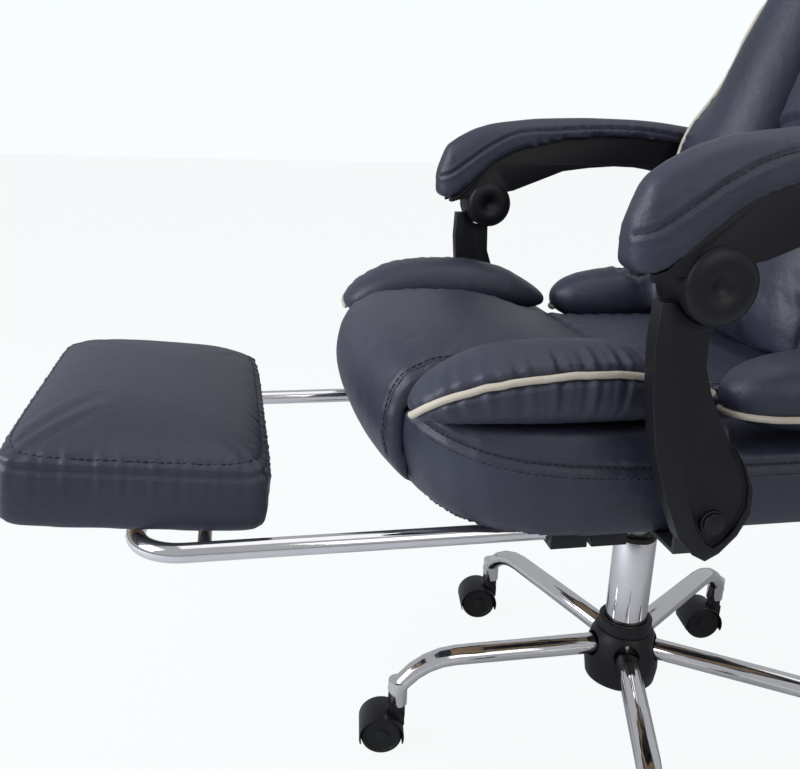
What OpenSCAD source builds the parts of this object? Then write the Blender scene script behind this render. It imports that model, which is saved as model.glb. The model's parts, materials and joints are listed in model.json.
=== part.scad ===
// Reclining office chair with a slide-out footrest on a five-star caster base.
// The chair faces -Y, +X is the sitter's left and the swivel axis is X = Y = 0 at the floor.

/* [Base] */
// Distance from the swivel axis to each caster stem
base_r = 285; // [260:5:340]
// Height of the crest of each leg above the floor
leg_crest_z = 131; // [120:1:150]
// Width of a leg tube
leg_w = 28; // [22:1:34]
// Height of a leg tube
leg_h = 24; // [18:1:30]
// Outer radius of the steel hub
hub_r = 34; // [30:1:40]
// Height of the steel hub
hub_h = 62; // [50:1:80]
// Outer radius of the black hub cover
hub_cover_r = 45; // [42:1:56]

/* [Casters] */
// Diameter of a caster wheel
wheel_d = 50; // [44:1:60]
// Width of one caster wheel
wheel_w = 17; // [14:1:20]
// Horizontal distance from stem to wheel axle
caster_trail = 19; // [14:1:26]
// Diameter of the caster stem
stem_d = 11; // [9:0.5:12]
// Diameter of the wheel axle
axle_d = 8; // [6:0.5:9]
// Direction in which the casters trail at rest
caster_heading = 262; // [0:1:359]

/* [Gas lift] */
// Diameter of the chrome outer tube
column_d = 50; // [48:1:52]
// Height of the top of the outer tube
column_top_z = 264; // [250:1:300]
// Diameter of the sliding cylinder
cylinder_d = 28; // [26:1:30]
// Diameter of the piston rod
rod_d = 10; // [8:0.5:12]
// Height of the underside of the tilt housing
housing_z = 332; // [326:1:336]

/* [Tilt mechanism] */
// Width of the tilt housing
housing_w = 96; // [86:1:110]
// Length of the tilt housing from front to rear
housing_l = 220; // [210:1:226]
// Height of the tilt housing
housing_h = 26; // [24:1:28]
// Wall of the tilt housing
housing_t = 3; // [2:0.5:4]
// Diameter of the tilt pin
tilt_pin_d = 12; // [10:0.5:14]
// Diameter of the tension spring's wire
spring_wire_d = 6; // [4:0.5:7]
// Diameter of the tension spring
spring_d = 38; // [32:1:42]
// Diameter of the tension knob
knob_d = 56; // [48:1:64]
// Length of the height lever from the housing's side
lever_l = 186; // [150:2:200]

/* [Seat] */
// Height of the underside of the seat board above the floor
board_z = 399; // [397:1:402]
// Thickness of the seat board
board_t = 15; // [12:1:18]
// Width over the seat's upholstered sides
seat_w = 510; // [490:2:530]
// Distance from the swivel axis to the rear of the seat
seat_rear = 164; // [150:2:176]
// Distance from the swivel axis to the front of the seat
seat_front = 356; // [345:1:370]
// Height of the lower upholstered body above the board
boxing_h = 96; // [85:1:105]
// Height of the centre panel's crown above the underside of the board
seat_crown_h = 147; // [138:1:156]
// Width of the centre panel
centre_w = 326; // [300:2:340]
// Distance from the swivel axis to the rear of the centre panel
centre_rear = 70; // [60:1:74]
// Width of a side pillow
pillow_w = 96; // [85:1:105]
// Length of a side pillow
pillow_l = 254; // [240:2:256]
// Height of a side pillow
pillow_h = 72; // [64:1:80]
// Diameter of the cream piping
piping_d = 6; // [4:0.5:7]

/* [Footrest] */
// Distance between the two rails' centre lines
rail_gap = 406; // [396:1:412]
// Diameter of the footrest frame tube
rail_d = 17; // [15:1:19]
// Distance from the swivel axis to the front cross bar
bar_y = 553; // [540:1:570]
// Bend radius of the frame tube's centre line
bend_r = 42; // [35:1:50]
// Diameter of the thin rod behind the cross bar
rest_rod_d = 12; // [10:1:13]
// Distance from the cross bar to the thin rod
rest_rod_gap = 58; // [50:1:64]
// Width of the footrest pad
pad_w = 372; // [350:2:374]
// Length of the footrest pad from front to rear
pad_l = 222; // [200:2:230]
// Height of the footrest pad's cushion
pad_h = 68; // [60:1:74]
// Thickness of the footrest pad's board
pad_board_t = 10; // [8:1:14]
// Travel of the footrest under the seat
footrest_travel = 290; // [280:1:295]
// Pitch of the pad on its bar at rest
pad_pitch = 5.5; // [3:0.5:6]

/* [Backrest] */
// Lean of the backrest from the vertical
back_lean = 20; // [18:1:23]
// Length of the backrest along its lean
back_l = 700; // [660:5:760]
// Width of the backrest at its widest
back_w = 508; // [490:2:520]
// Thickness of the backrest's padding
back_pad_t = 84; // [74:1:96]
// Thickness of the backrest's board
back_board_t = 14; // [12:1:18]
// Thickness of the rear cover
back_cover_t = 16; // [12:1:20]
// Width of the backrest's centre panel
back_centre_w = 220; // [200:2:240]

/* [Armrests] */
// Distance from the seat's side to an arm's centre line
arm_gap = 35; // [33:1:40]
// Distance from the swivel axis to the arm's front tip
arm_tip = 196; // [190:1:210]
// Length of an arm from tip to rear end
arm_l = 412; // [400:2:430]
// Height of the top of the arm above the floor
arm_top_z = 740; // [730:1:750]
// Width of the padded arm top
arm_pad_w = 60; // [52:1:66]
// Width of the arm's plastic body
arm_body_w = 40; // [34:1:44]
// Radius of the knuckle disc
knuckle_r = 29; // [26:1:32]
// Diameter of the pivot bolts of the arm linkage
arm_pin_d = 10; // [8:0.5:12]
// Length of the strut from its lower pivot to the knuckle
strut_l = 193; // [188:1:198]
// Thickness of the strut
strut_t = 16; // [13:1:18]

/* [Hidden] */
// Length of the seat from the front roll to its rear edge
seat_l = seat_front + seat_rear;
// Distance from the chair's middle to an arm's centre line
arm_x = max(seat_w / 2 + arm_gap, back_w / 2 + arm_gap + 1);

// Rounding of every exact cylinder
$fn = 48;
// Overrun of every cut
cut = 2;
// Radial clearance of a shaft in its bore
run_gap = 0.06;
// Clearance between a soft part and a part that moves past it
soft_gap = 0.4;
// Number of legs and casters
leg_n = 5;

// Colours
leather = [0.13, 0.135, 0.17];
cream = [0.85, 0.81, 0.74];
black = [0.07, 0.07, 0.075];
chrome = [0.82, 0.82, 0.84];
steel = [0.45, 0.46, 0.48];
board_tone = [0.62, 0.5, 0.36];

function lerp(a, b, t) = a + (b - a) * t;
function sgn(v) = v < 0 ? -1 : 1;
function super(a, p) = [sgn(cos(a)) * pow(abs(cos(a)), 2 / p), sgn(sin(a)) * pow(abs(sin(a)), 2 / p)];
// Value at x of a line through points whose first numbers rise
function along(table, x, i = 0) = x <= table[0][0] ? table[0][1]
    : i >= len(table) - 1 ? table[len(table) - 1][1]
    : x <= table[i + 1][0] ? lerp(table[i][1], table[i + 1][1],
        smooth((x - table[i][0]) / (table[i + 1][0] - table[i][0])))
    : along(table, x, i + 1);
function smooth(t) = lerp(t, t * t * (3 - 2 * t), 0.35);
// Evenly rounded stations between -1 and 1, closer together at the ends
function stations(n) = [for (i = [0 : n]) -cos(180 * i / n)];
// Rounded end of a cushion: its section's share of full size at station s
function end_share(s, p) = pow(max(0, 1 - pow(abs(s), p)), 1 / p);

// Solid through rings of points, each with as many points as the first
module loft(rings, flip = false, flat = false) {
    n = len(rings[0]);
    m = len(rings);
    sides = [for (i = [0 : m - 2], j = [0 : n - 1]) let (k = (j + 1) % n)
        each [[i * n + j, (i + 1) * n + k, i * n + k], [i * n + j, (i + 1) * n + j, (i + 1) * n + k]]];
    fans = [for (j = [1 : n - 2]) each [[0, j, j + 1], [(m - 1) * n, (m - 1) * n + j + 1, (m - 1) * n + j]]];
    caps = [[for (j = [0 : n - 1]) j], [for (j = [n - 1 : -1 : 0]) (m - 1) * n + j]];
    faces = concat(sides, flat ? caps : fans);
    polyhedron([for (r = rings) each r], flip ? [for (f = faces) [f[2], f[1], f[0]]] : faces);
}

// Round tube along a list of points, swept without twist in planes square to the path
function unit(v) = v / norm(v);
function tangent(path, i) = unit(path[min(i + 1, len(path) - 1)] - path[max(i - 1, 0)]);
module sweep(path, r, sides, ref) {
    loft([for (i = [0 : len(path) - 1])
        let (t = tangent(path, i), u = unit(cross(ref, t)), w = cross(t, u))
        [for (j = [0 : sides - 1]) path[i] + r * (cos(360 * j / sides) * u + sin(360 * j / sides) * w)]]);
}

// Box cushion with rounded edges and a crown on its upper face, lying on z = 0
module box_cushion(l, w, h, r, crown, p, ring_n, station_n) {
    loft([for (s = stations(station_n))
        let (e = end_share(s, p))
        [for (j = [0 : ring_n - 1])
            let (c = super(360 * (j + 0.5) / ring_n, p),
                y = c[0] * (l / 2 - r * (1 - e)),
                top = c[1] > 0 ? crown * (1 - s * s) * (1 - pow(2 * y / l, 2)) : 0)
            [s * w / 2, y, h / 2 + c[1] * (h / 2 - r * (1 - e)) + top * c[1]]]]);
}

// Base
hub_z = leg_crest_z - hub_h + leg_h / 4;
taper_r = column_d / 2;
leg_bend_r = 84;
socket_z = 60;
socket_roof = 8;
socket_r = stem_d / 2 + 6;
socket_h = 32;
leg_wall = 2.5;

module base_hub() {
    color(steel) difference() {
        translate([0, 0, hub_z]) cylinder(h = hub_h, r = hub_r);
        translate([0, 0, hub_z - cut]) cylinder(h = hub_h + 2 * cut, r = taper_r);
    }
}

cover_drop = 5;
cover_lip_h = 14;
cover_lip_r = taper_r + 7;
cover_t = 3;
cover_dome_shares = [[0.72, 0], [0.95, 0.06], [1, 0.3], [0.98, 0.62], [0.88, 0.86], [0.76, 1]];
module hub_cover() {
    z0 = hub_z - cover_drop;
    h = hub_h + cover_drop + cover_t;
    outer = [for (s = cover_dome_shares) [s[0] * hub_cover_r, z0 + s[1] * h]];
    color(black) difference() {
        rotate_extrude() polygon(concat(outer,
            [[cover_lip_r, z0 + h], [cover_lip_r, z0 + h + cover_lip_h], [taper_r + 1, z0 + h + cover_lip_h],
                [taper_r + 1, z0 + h - cover_t], [hub_r + run_gap, z0 + h - cover_t], [hub_r + run_gap, z0]]));
        for (i = [0 : leg_n - 1]) leg_place(i)
            translate([hub_r, 0, leg_crest_z - leg_h / 2]) rotate([0, 90, 0])
                cylinder(h = hub_cover_r, r = leg_w / 2 + 1);
    }
}

module leg_place(i) {
    rotate([0, 0, 270 + 360 / leg_n * i]) children();
}

// Arched leg: level from the hub, then an arc down to the caster socket
leg_drop_angle = 62;
leg_reach = 14;
leg_path = concat(
    [for (x = [hub_r, (hub_r + base_r) / 3, base_r - leg_bend_r + leg_reach]) [x, 0, leg_crest_z - leg_h / 2]],
    [for (a = [leg_drop_angle / 5 : leg_drop_angle / 5 : leg_drop_angle])
        [base_r - leg_bend_r + leg_reach + leg_bend_r * sin(a), 0, leg_crest_z - leg_h / 2 - leg_bend_r * (1 - cos(a))]]);
module base_leg(i) {
    n = len(leg_path);
    color(chrome) leg_place(i) difference() {
        union() {
            loft([for (k = [0 : n - 1])
                let (t = tangent(leg_path, k), w = [0, 1, 0], u = cross(w, t),
                    share = lerp(1, 0.8, k / (n - 1)))
                [for (j = [0 : 19]) leg_path[k]
                    + leg_h / 2 * share * cos(18 * j) * u + leg_w / 2 * share * sin(18 * j) * w]]);
            translate([base_r, 0, socket_z]) cylinder(h = socket_h, r = socket_r);
        }
        translate([base_r, 0, socket_z - cut])
            cylinder(h = socket_h - socket_roof + cut, r = stem_d / 2 + run_gap);
    }
}
module base_leg_1() base_leg(0);
module base_leg_2() base_leg(1);
module base_leg_3() base_leg(2);
module base_leg_4() base_leg(3);
module base_leg_5() base_leg(4);

// Gas lift
column_bottom_z = hub_z - 14;
column_wall = 2;
bush_h = 12;
floor_t = 5;
module column_tube() {
    color(chrome) difference() {
        translate([0, 0, column_bottom_z]) cylinder(h = column_top_z - column_bottom_z, r = taper_r);
        translate([0, 0, column_bottom_z + floor_t])
            cylinder(h = column_top_z - column_bottom_z, r = taper_r - column_wall);
        translate([0, 0, column_bottom_z - cut]) cylinder(h = floor_t + 2 * cut, r = rod_d / 2 + 1);
    }
}
module column_bush() {
    color(black) difference() {
        union() {
            translate([0, 0, column_top_z]) cylinder(h = bush_h / 2, r = taper_r);
            translate([0, 0, column_top_z - 4 * bush_h]) cylinder(h = 4 * bush_h, r = taper_r - column_wall);
        }
        translate([0, 0, column_top_z - 4 * bush_h - cut])
            cylinder(h = 5 * bush_h, r = cylinder_d / 2 + run_gap);
    }
}
clip_h = 3;
module retaining_clip() {
    color(steel) translate([0, 0, column_bottom_z - clip_h - 0.3]) difference() {
        cylinder(h = clip_h, r = rod_d);
        translate([0, 0, -cut]) cylinder(h = clip_h + 2 * cut, r = rod_d / 2);
    }
}
rod_top_z = column_top_z - 34;
module piston_rod() {
    color(steel) {
        translate([0, 0, column_bottom_z - clip_h - 3]) cylinder(h = rod_top_z - column_bottom_z, r = rod_d / 2);
        translate([0, 0, rod_top_z - clip_h - 9]) cylinder(h = 9, r = cylinder_d / 2 - 2 - run_gap);
    }
}
bearing_h = 8;
module thrust_bearing() {
    color(steel) translate([0, 0, column_bottom_z + floor_t + 0.1]) difference() {
        cylinder(h = bearing_h, r = rod_d / 2 + 6);
        translate([0, 0, -cut]) cylinder(h = bearing_h + 2 * cut, r = rod_d / 2);
    }
}
// The cylinder slides over the piston and its top is seated in the tilt housing
cylinder_bottom_z = column_bottom_z + 78;
cylinder_top_z = housing_z + housing_h - 4;
button_d = 8;
button_travel = 3;
button_h = 16;
module lift_cylinder() {
    color(steel) difference() {
        translate([0, 0, cylinder_bottom_z])
            cylinder(h = cylinder_top_z - cylinder_bottom_z, r = cylinder_d / 2);
        translate([0, 0, cylinder_bottom_z - cut])
            cylinder(h = cylinder_top_z - cylinder_bottom_z - button_h - 8, r = cylinder_d / 2 - 2);
        translate([0, 0, cylinder_top_z - button_h - cut])
            cylinder(h = button_h + 2 * cut, r = button_d / 2 + run_gap);
    }
}
button_top_z = cylinder_top_z + 0.1 + button_travel;
module release_button() {
    color(steel) translate([0, 0, button_top_z - button_h + 2]) cylinder(h = button_h - 2, r = button_d / 2);
}

// Tilt mechanism
tilt_y = -42;
spring_y = -84;
tilt_z = housing_z + housing_h / 2 + 1;
housing_y = -8;
boss_r = cylinder_d / 2 + 7;
module housing_box(grow, h) {
    translate([-housing_w / 2 - grow, housing_y - housing_l / 2 - grow, 0])
        cube([housing_w + 2 * grow, housing_l + 2 * grow, h]);
}
lever_y = 34;
lever_z = housing_z + housing_h - 8;
lever_d = 8;
tongue_t = 4;
tongue_gap = 0.3;
tongue_z = cylinder_top_z + 0.1 + button_travel + tongue_gap;
module tilt_housing() {
    color(black) difference() {
        union() {
            difference() {
                translate([0, 0, housing_z]) housing_box(0, housing_h);
                translate([0, 0, housing_z + housing_t]) housing_box(-housing_t, housing_h);
            }
            translate([0, 0, housing_z]) cylinder(h = cylinder_top_z - housing_z, r = boss_r);
            translate([0, spring_y, housing_z]) cylinder(h = 8, r = spring_d / 2 - spring_wire_d - 1);
        }
        translate([0, 0, housing_z - cut]) cylinder(h = housing_h + 2 * cut, r = cylinder_d / 2);
        translate([-housing_w, tilt_y, tilt_z]) rotate([0, 90, 0])
            cylinder(h = 2 * housing_w, r = tilt_pin_d / 2);
        translate([-housing_w, lever_y, lever_z]) rotate([0, 90, 0])
            cylinder(h = housing_w, r = lever_d / 2 + run_gap);
        translate([0, spring_y, housing_z - cut]) cylinder(h = housing_h, r = 5 + run_gap);
    }
}
plate_ear_t = 5;
pin_l = housing_w + 2 * plate_ear_t + 10;
module tilt_pin() {
    color(steel) translate([-pin_l / 2, tilt_y, tilt_z]) rotate([0, 90, 0])
        cylinder(h = pin_l, r = tilt_pin_d / 2);
}
spring_turns = 3;
spring_h = 22;
module tilt_spring() {
    color(steel) translate([0, spring_y, housing_z + housing_t + spring_wire_d / 2 + 0.1])
        sweep([for (a = [0 : 15 : 360 * spring_turns])
            [(spring_d - spring_wire_d) / 2 * cos(a), (spring_d - spring_wire_d) / 2 * sin(a),
                a / (360 * spring_turns) * (spring_h - spring_wire_d - 0.2)]],
            spring_wire_d / 2, 8, [0, 0, 1]);
}
knob_h = 26;
knob_grips = 8;
module tension_knob() {
    color(black) translate([0, spring_y, 0]) {
        difference() {
            translate([0, 0, housing_z - knob_h - 0.5]) cylinder(h = knob_h, r = knob_d / 2);
            for (i = [0 : knob_grips - 1]) rotate([0, 0, 360 / knob_grips * i])
                translate([knob_d / 2 + 3, 0, housing_z - knob_h - cut]) cylinder(h = knob_h + 2 * cut, r = 7);
        }
        translate([0, 0, housing_z - 1]) cylinder(h = housing_h - 6, r = 5);
    }
}
paddle_l = 52;
paddle_w = 30;
paddle_t = 8;
module height_lever() {
    color(black) {
        translate([-housing_w / 2 - lever_l + paddle_l, lever_y, lever_z]) rotate([0, 90, 0])
            cylinder(h = lever_l - paddle_l + housing_w / 2 + lever_d / 2, r = lever_d / 2);
        translate([-lever_d / 2, lever_y - lever_d / 2, lever_z])
            cube([lever_d, lever_d, tongue_z - lever_z + tongue_t]);
        translate([-lever_d / 2, -1, tongue_z]) cube([lever_d, lever_y, tongue_t]);
        hull() {
            translate([-housing_w / 2 - lever_l + paddle_l + paddle_w / 2, lever_y, lever_z - paddle_t / 2])
                cylinder(h = paddle_t, r = paddle_w / 4, $fn = 32);
            translate([-housing_w / 2 - lever_l + paddle_w / 2, lever_y + paddle_w / 3, lever_z - paddle_t / 2])
                cylinder(h = paddle_t, r = paddle_w / 2, $fn = 32);
        }
    }
}

// Seat structure
plate_t = 4;
plate_w = 180;
plate_l = 236;
plate_z = board_z - plate_t;
ear_h = plate_z - tilt_z;
ear_r = 13;
module seat_plate() {
    color(black) difference() {
        union() {
            translate([-plate_w / 2, -plate_l / 2, plate_z]) cube([plate_w, plate_l, plate_t]);
            for (s = [-1, 1]) translate([s * (housing_w / 2 + 1 + plate_ear_t / 2) - plate_ear_t / 2, tilt_y, 0]) {
                translate([0, 0, tilt_z]) rotate([0, 90, 0]) cylinder(h = plate_ear_t, r = ear_r);
                translate([0, -ear_r, tilt_z]) cube([plate_ear_t, 2 * ear_r, ear_h + 1]);
            }
        }
        translate([-housing_w, tilt_y, tilt_z]) rotate([0, 90, 0])
            cylinder(h = 2 * housing_w, r = tilt_pin_d / 2 + run_gap);
    }
}
board_front = seat_front - 112;
board_rear = seat_rear - 6;
board_w = seat_w - 24;
board_corner = 40;
module seat_board() {
    color(board_tone) translate([0, 0, board_z]) hull()
        for (sx = [-1, 1], y = [-board_front + board_corner, board_rear - board_corner])
            translate([sx * (board_w / 2 - board_corner), y, 0])
                cylinder(h = board_t, r = board_corner, $fn = 32);
}

// Lower upholstered body: a shell round the board with a leaning front
boxing_front_shares = [[0, 0.056], [0.12, 0.034], [0.35, 0.016], [0.7, 0.003], [1, 0]];
boxing_p = 4;
notch_x = centre_w / 2 + 5;
notch_z = board_z + boxing_h - 24;
boxing_ring = 32;
module seat_boxing() {
    l = seat_l - 24;
    front = -(seat_front - 24);
    color(leather) difference() {
        loft([for (s = [0 : 0.125 : 1])
            let (lean = along(boxing_front_shares, s) * l,
                swell = 3 * sin(180 * s) - 4 * pow(2 * s - 1, 6),
                hy = (l - lean) / 2 + swell, cy = front + lean / 2 + l / 2)
            [for (j = [0 : boxing_ring - 1]) let (c = super(360 * j / boxing_ring, boxing_p))
                [c[0] * (seat_w / 2 - 3 + swell), cy + c[1] * hy, board_z + s * boxing_h]]]);
        for (side = [-1, 1]) translate([side > 0 ? notch_x : -notch_x - seat_w, -bolster_tip - 4, notch_z])
            cube([seat_w, seat_l, boxing_h]);
        translate([0, 0, board_z - cut]) linear_extrude(board_t + cut) offset(delta = 0.1) hull()
            for (sx = [-1, 1], y = [-board_front + board_corner, board_rear - board_corner])
                translate([sx * (board_w / 2 - board_corner), y]) circle(board_corner, $fn = 32);
    }
}

// Centre panel: a waterfall front with an apron before the lower body, a crown and a dished rear
centre_top_shares = [[0.0094, 0.677], [0.035, 0.845], [0.103, 0.973], [0.232, 1], [0.366, 0.973], [0.448, 0.908],
    [0.535, 0.79], [0.63, 0.685], [0.742, 0.662], [1, 0.653]];
// Front and rear of the apron, as shares of the panel's length and height; the rear follows the lower body
apron_front_shares = [[0, 0.539], [0, 0.461], [0.0035, 0.367], [0.0117, 0.266], [0.0258, 0.172], [0.0446, 0.086],
    [0.0657, 0.0234], [0.0751, 0]];
apron_rear_shares = [[0.081, 0.0117], [0.0751, 0.047], [0.0638, 0.133], [0.0587, 0.2266], [0.054, 0.32],
    [0.0507, 0.414], [0.0507, 0.508]];
centre_low_z = board_z + 19;
bed = 0.3;
corner_recess = 24;
rear_recess = 11.5;
module seat_centre() {
    h = board_z + seat_crown_h - centre_low_z;
    l = seat_front + centre_rear;
    n = len(centre_top_shares);
    rest_z = board_z + boxing_h + bed;
    color(leather) loft([for (s = stations(12))
        let (e = max(end_share(s, 3), 0.1), keep = lerp(0.55, 1, e), x = s * centre_w / 2,
            round = corner_recess * pow(abs(s), 3),
            behind = rear_recess * pow(abs(s), 5),
            top = [for (p = centre_top_shares) [x, -seat_front + p[0] * l + round * (1 - p[0]),
                rest_z + (centre_low_z + p[1] * h - rest_z) * keep]],
            front = [for (p = apron_front_shares)
                [x, -seat_front + p[0] * l + round * min(1, 0.5 + 0.93 * p[1]), centre_low_z + p[1] * h]],
            rear = [for (p = apron_rear_shares) [x, -seat_front + p[0] * l + behind, centre_low_z + p[1] * h]],
            rest_y = apron_rear_shares[len(apron_rear_shares) - 1][0] * l + behind)
        concat([top[0]], front, rear, [[x, -seat_front + rest_y, rest_z],
            [x, -seat_front + l / 2, rest_z], [x, -seat_front + l, rest_z]],
            [for (k = [n - 1 : -1 : 1]) top[k]])], false, true);
}

// Side pillow: full in the middle, drawn in at both ends, resting on the lower body
pillow_centre_x = seat_w / 2 - pillow_w / 2 + 6;
pillow_front = seat_front - 40;
pillow_base_z = board_z + boxing_h;
pillow_rise_shares = [[0, 0.62], [0.04, 0.72], [0.12, 0.87], [0.25, 0.98], [0.45, 1], [0.6, 0.98], [0.78, 0.84], [0.92, 0.6],
    [1, 0.44]];
pillow_ring = 20;
pillow_end = 3.4;
module side_pillow_left() {
    color(leather) difference() {
        loft([for (s = stations(16))
            let (t = (s + 1) / 2, e = end_share(s, pillow_end), rise = along(pillow_rise_shares, t) * pillow_h)
            [for (j = [0 : pillow_ring - 1]) let (c = super(360 * j / pillow_ring, 2.3))
                [pillow_centre_x + 5 * sin(180 * t) - 3 + c[1] * pillow_w / 2 * max(e, 0.24),
                    -pillow_front + t * pillow_l,
                    pillow_base_z - 2 + rise / 2 + c[0] * rise / 2 * max(e, 0.3)]]]);
        translate([0, -seat_front, board_z]) cube([seat_w, seat_l, boxing_h]);
    }
}
module side_pillow_right() {
    mirror([1, 0, 0]) side_pillow_left();
}

// Piping along the outer side of a pillow, drawn in with it at both ends
pipe_corner = 3;
pipe_turn = 60;
module seat_piping_left() {
    c = super(360 * pipe_corner / pillow_ring, 2.3);
    color(cream) sweep([for (s = stations(16))
        let (t = (s + 1) / 2, e = end_share(s, pillow_end), rise = along(pillow_rise_shares, t) * pillow_h,
            dx = c[1] * pillow_w / 2 * max(e, 0.24), dz = c[0] * rise / 2 * max(e, 0.3))
        [pillow_centre_x + 5 * sin(180 * t) - 3 + dx, -pillow_front + t * pillow_l, pillow_base_z - 2 + rise / 2 + dz]
            + (piping_d / 2 + 0.1) * unit([dx, pipe_turn * pow(s, 7), dz])],
        piping_d / 2, 8, [0, 0, 1]);
}
module seat_piping_right() {
    mirror([1, 0, 0]) seat_piping_left();
}

// Rails and their guides under the board
rail_z = board_z - rail_d / 2 - 5;
guide_w = 28;
guide_l = 34;
guide_ys = [64 - board_front, 102 - board_front];
module rail_guides() {
    color(black) for (s = [-1, 1], y = guide_ys) difference() {
        translate([s * rail_gap / 2 - guide_w / 2, y - guide_l / 2, rail_z - rail_d / 2 - 4])
            cube([guide_w, guide_l, board_z - rail_z + rail_d / 2 + 4]);
        translate([s * rail_gap / 2, y - guide_l, rail_z]) rotate([-90, 0, 0])
            cylinder(h = 2 * guide_l, r = rail_d / 2 + run_gap);
    }
}

// Hinge points of the arm linkage, as distances from the swivel axis and the floor
strut_pivot_y = -98;
strut_pivot_z = 434;
knuckle_dy = -28;
knuckle_dz = sqrt(strut_l * strut_l - knuckle_dy * knuckle_dy);
arm_rear_y = 186;
arm_rear_z = 682;
hinge_y = arm_rear_y - knuckle_dy;
hinge_z = arm_rear_z - knuckle_dz;
hinge_d = 12;
recline_y = hinge_y - 2;
recline_z = board_z + 34;
recline_shaft_r = 6;
strut_in_x = arm_x - strut_t / 2 + 4;

// Steel brackets from the board to the backrest hinge and to the struts
bracket_t = 4;
bracket_x = 196;
bracket_r = 20;
strap_h = 34;
strap_y = strut_pivot_y;
module seat_brackets() {
    color(black) {
        for (s = [-1, 1]) {
            translate([s * bracket_x - bracket_t / 2, 0, 0]) difference() {
                union() {
                    translate([0, hinge_y, hinge_z]) rotate([0, 90, 0]) cylinder(h = bracket_t, r = bracket_r);
                    translate([0, 30, board_z - bracket_t]) cube([bracket_t, hinge_y + bracket_r - 30, bracket_t]);
                    translate([0, hinge_y - bracket_r, board_z - bracket_t])
                        cube([bracket_t, 2 * bracket_r, hinge_z - board_z + bracket_t]);
                }
                translate([-cut, hinge_y, hinge_z]) rotate([0, 90, 0])
                    cylinder(h = bracket_t + 2 * cut, r = hinge_d / 2 + run_gap);
                translate([-cut, recline_y, recline_z]) rotate([0, 90, 0])
                    cylinder(h = bracket_t + 2 * cut, r = recline_shaft_r + run_gap);
            }
            translate([s * bracket_x - 15, 30, board_z - bracket_t]) cube([30, 100, bracket_t]);
        }
        for (s = [-1, 1]) difference() {
            union() {
                translate([s * (strut_in_x - 10) - bracket_t / 2, strap_y - strap_h / 2, board_z - bracket_t])
                    cube([bracket_t, strap_h, strut_pivot_z - board_z + bracket_t]);
                translate([s * (strut_in_x - 10) - bracket_t / 2, strap_y, strut_pivot_z]) rotate([0, 90, 0])
                    cylinder(h = bracket_t, r = strap_h / 2);
                translate([s * (strut_in_x - 10) + (s > 0 ? -62 : 0) - s * bracket_t / 2,
                    strap_y - strap_h / 2, board_z - bracket_t])
                    cube([62, strap_h, bracket_t]);
            }
            translate([s * arm_x - 60, strap_y, strut_pivot_z]) rotate([0, 90, 0])
                cylinder(h = 120, r = arm_pin_d / 2);
        }
    }
}
bolt_cap_r = 9;
bolt_cap_t = 2.5;
bolt_boss = 1.5;
module strut_bolts() {
    color(black) for (s = [-1, 1]) {
        translate([s * (strut_in_x - 18), strap_y, strut_pivot_z]) rotate([0, s * 90, 0])
            cylinder(h = strut_t + 20, r = arm_pin_d / 2);
        translate([s * (strut_in_x + strut_t + 0.4), strap_y, strut_pivot_z]) rotate([0, s * 90, 0])
            cylinder(h = bolt_cap_t, r = bolt_cap_r);
    }
}

// Footrest frame: one tube bent to a flat U, and the thin rod behind its cross bar
rail_stop_y = 172;
rail_rear = rail_stop_y - footrest_travel;
pad_gap = 1;
module footrest_tube() {
    color(chrome) {
        for (s = [-1, 1]) {
            translate([s * rail_gap / 2, -bar_y + bend_r, rail_z]) rotate([-90, 0, 0])
                cylinder(h = bar_y - bend_r + rail_rear, r = rail_d / 2);
            translate([s * (rail_gap / 2 - bend_r), -bar_y + bend_r, rail_z]) rotate([0, 0, s > 0 ? -90 : 180])
                rotate_extrude(angle = 90) translate([bend_r, 0]) circle(rail_d / 2);
        }
        translate([-rail_gap / 2 + bend_r, -bar_y, rail_z]) rotate([0, 90, 0])
            cylinder(h = rail_gap - 2 * bend_r, r = rail_d / 2);
    }
}
rest_rod_drop = rest_rod_d / 2 + soft_gap - (rail_d / 2 + pad_gap) / cos(pad_pitch)
    + rest_rod_gap * tan(pad_pitch);
module footrest_rod() {
    color(chrome) translate([-rail_gap / 2 + rail_d / 2, -bar_y + rest_rod_gap, rail_z - rest_rod_drop])
        rotate([0, 90, 0]) cylinder(h = rail_gap - rail_d, r = rest_rod_d / 2);
}

// Pad: it turns about the cross bar and is drawn level, then pitched
saddle_w = 26;
saddle_x = 120;
saddle_wall = 5;
module pad_place() {
    translate([0, -bar_y, rail_z]) rotate([-pad_pitch, 0, 0]) children();
}
module footrest_saddles() {
    h = rail_d / 2 + pad_gap;
    color(black) pad_place() for (s = [-1, 1]) difference() {
        union() {
            translate([s * saddle_x - saddle_w / 2, 0, 0]) rotate([0, 90, 0])
                cylinder(h = saddle_w, r = rail_d / 2 + saddle_wall);
            translate([s * saddle_x - saddle_w / 2, -rail_d / 2 - saddle_wall, 0])
                cube([saddle_w, rail_d + 2 * saddle_wall, h]);
        }
        translate([s * saddle_x - saddle_w, 0, 0]) rotate([0, 90, 0])
            cylinder(h = 2 * saddle_w, r = rail_d / 2 + run_gap);
        translate([s * saddle_x - saddle_w, -rail_d, h]) cube([2 * saddle_w, 2 * rail_d, rail_d]);
    }
}
pad_inset = 18;
pad_round = 12;
pad_crown = 10;
module footrest_board() {
    color(board_tone) pad_place()
        translate([-pad_w / 2 + pad_inset, -pad_l / 2 + pad_inset, rail_d / 2 + pad_gap])
            cube([pad_w - 2 * pad_inset, pad_l - 2 * pad_inset, pad_board_t]);
}
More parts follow.
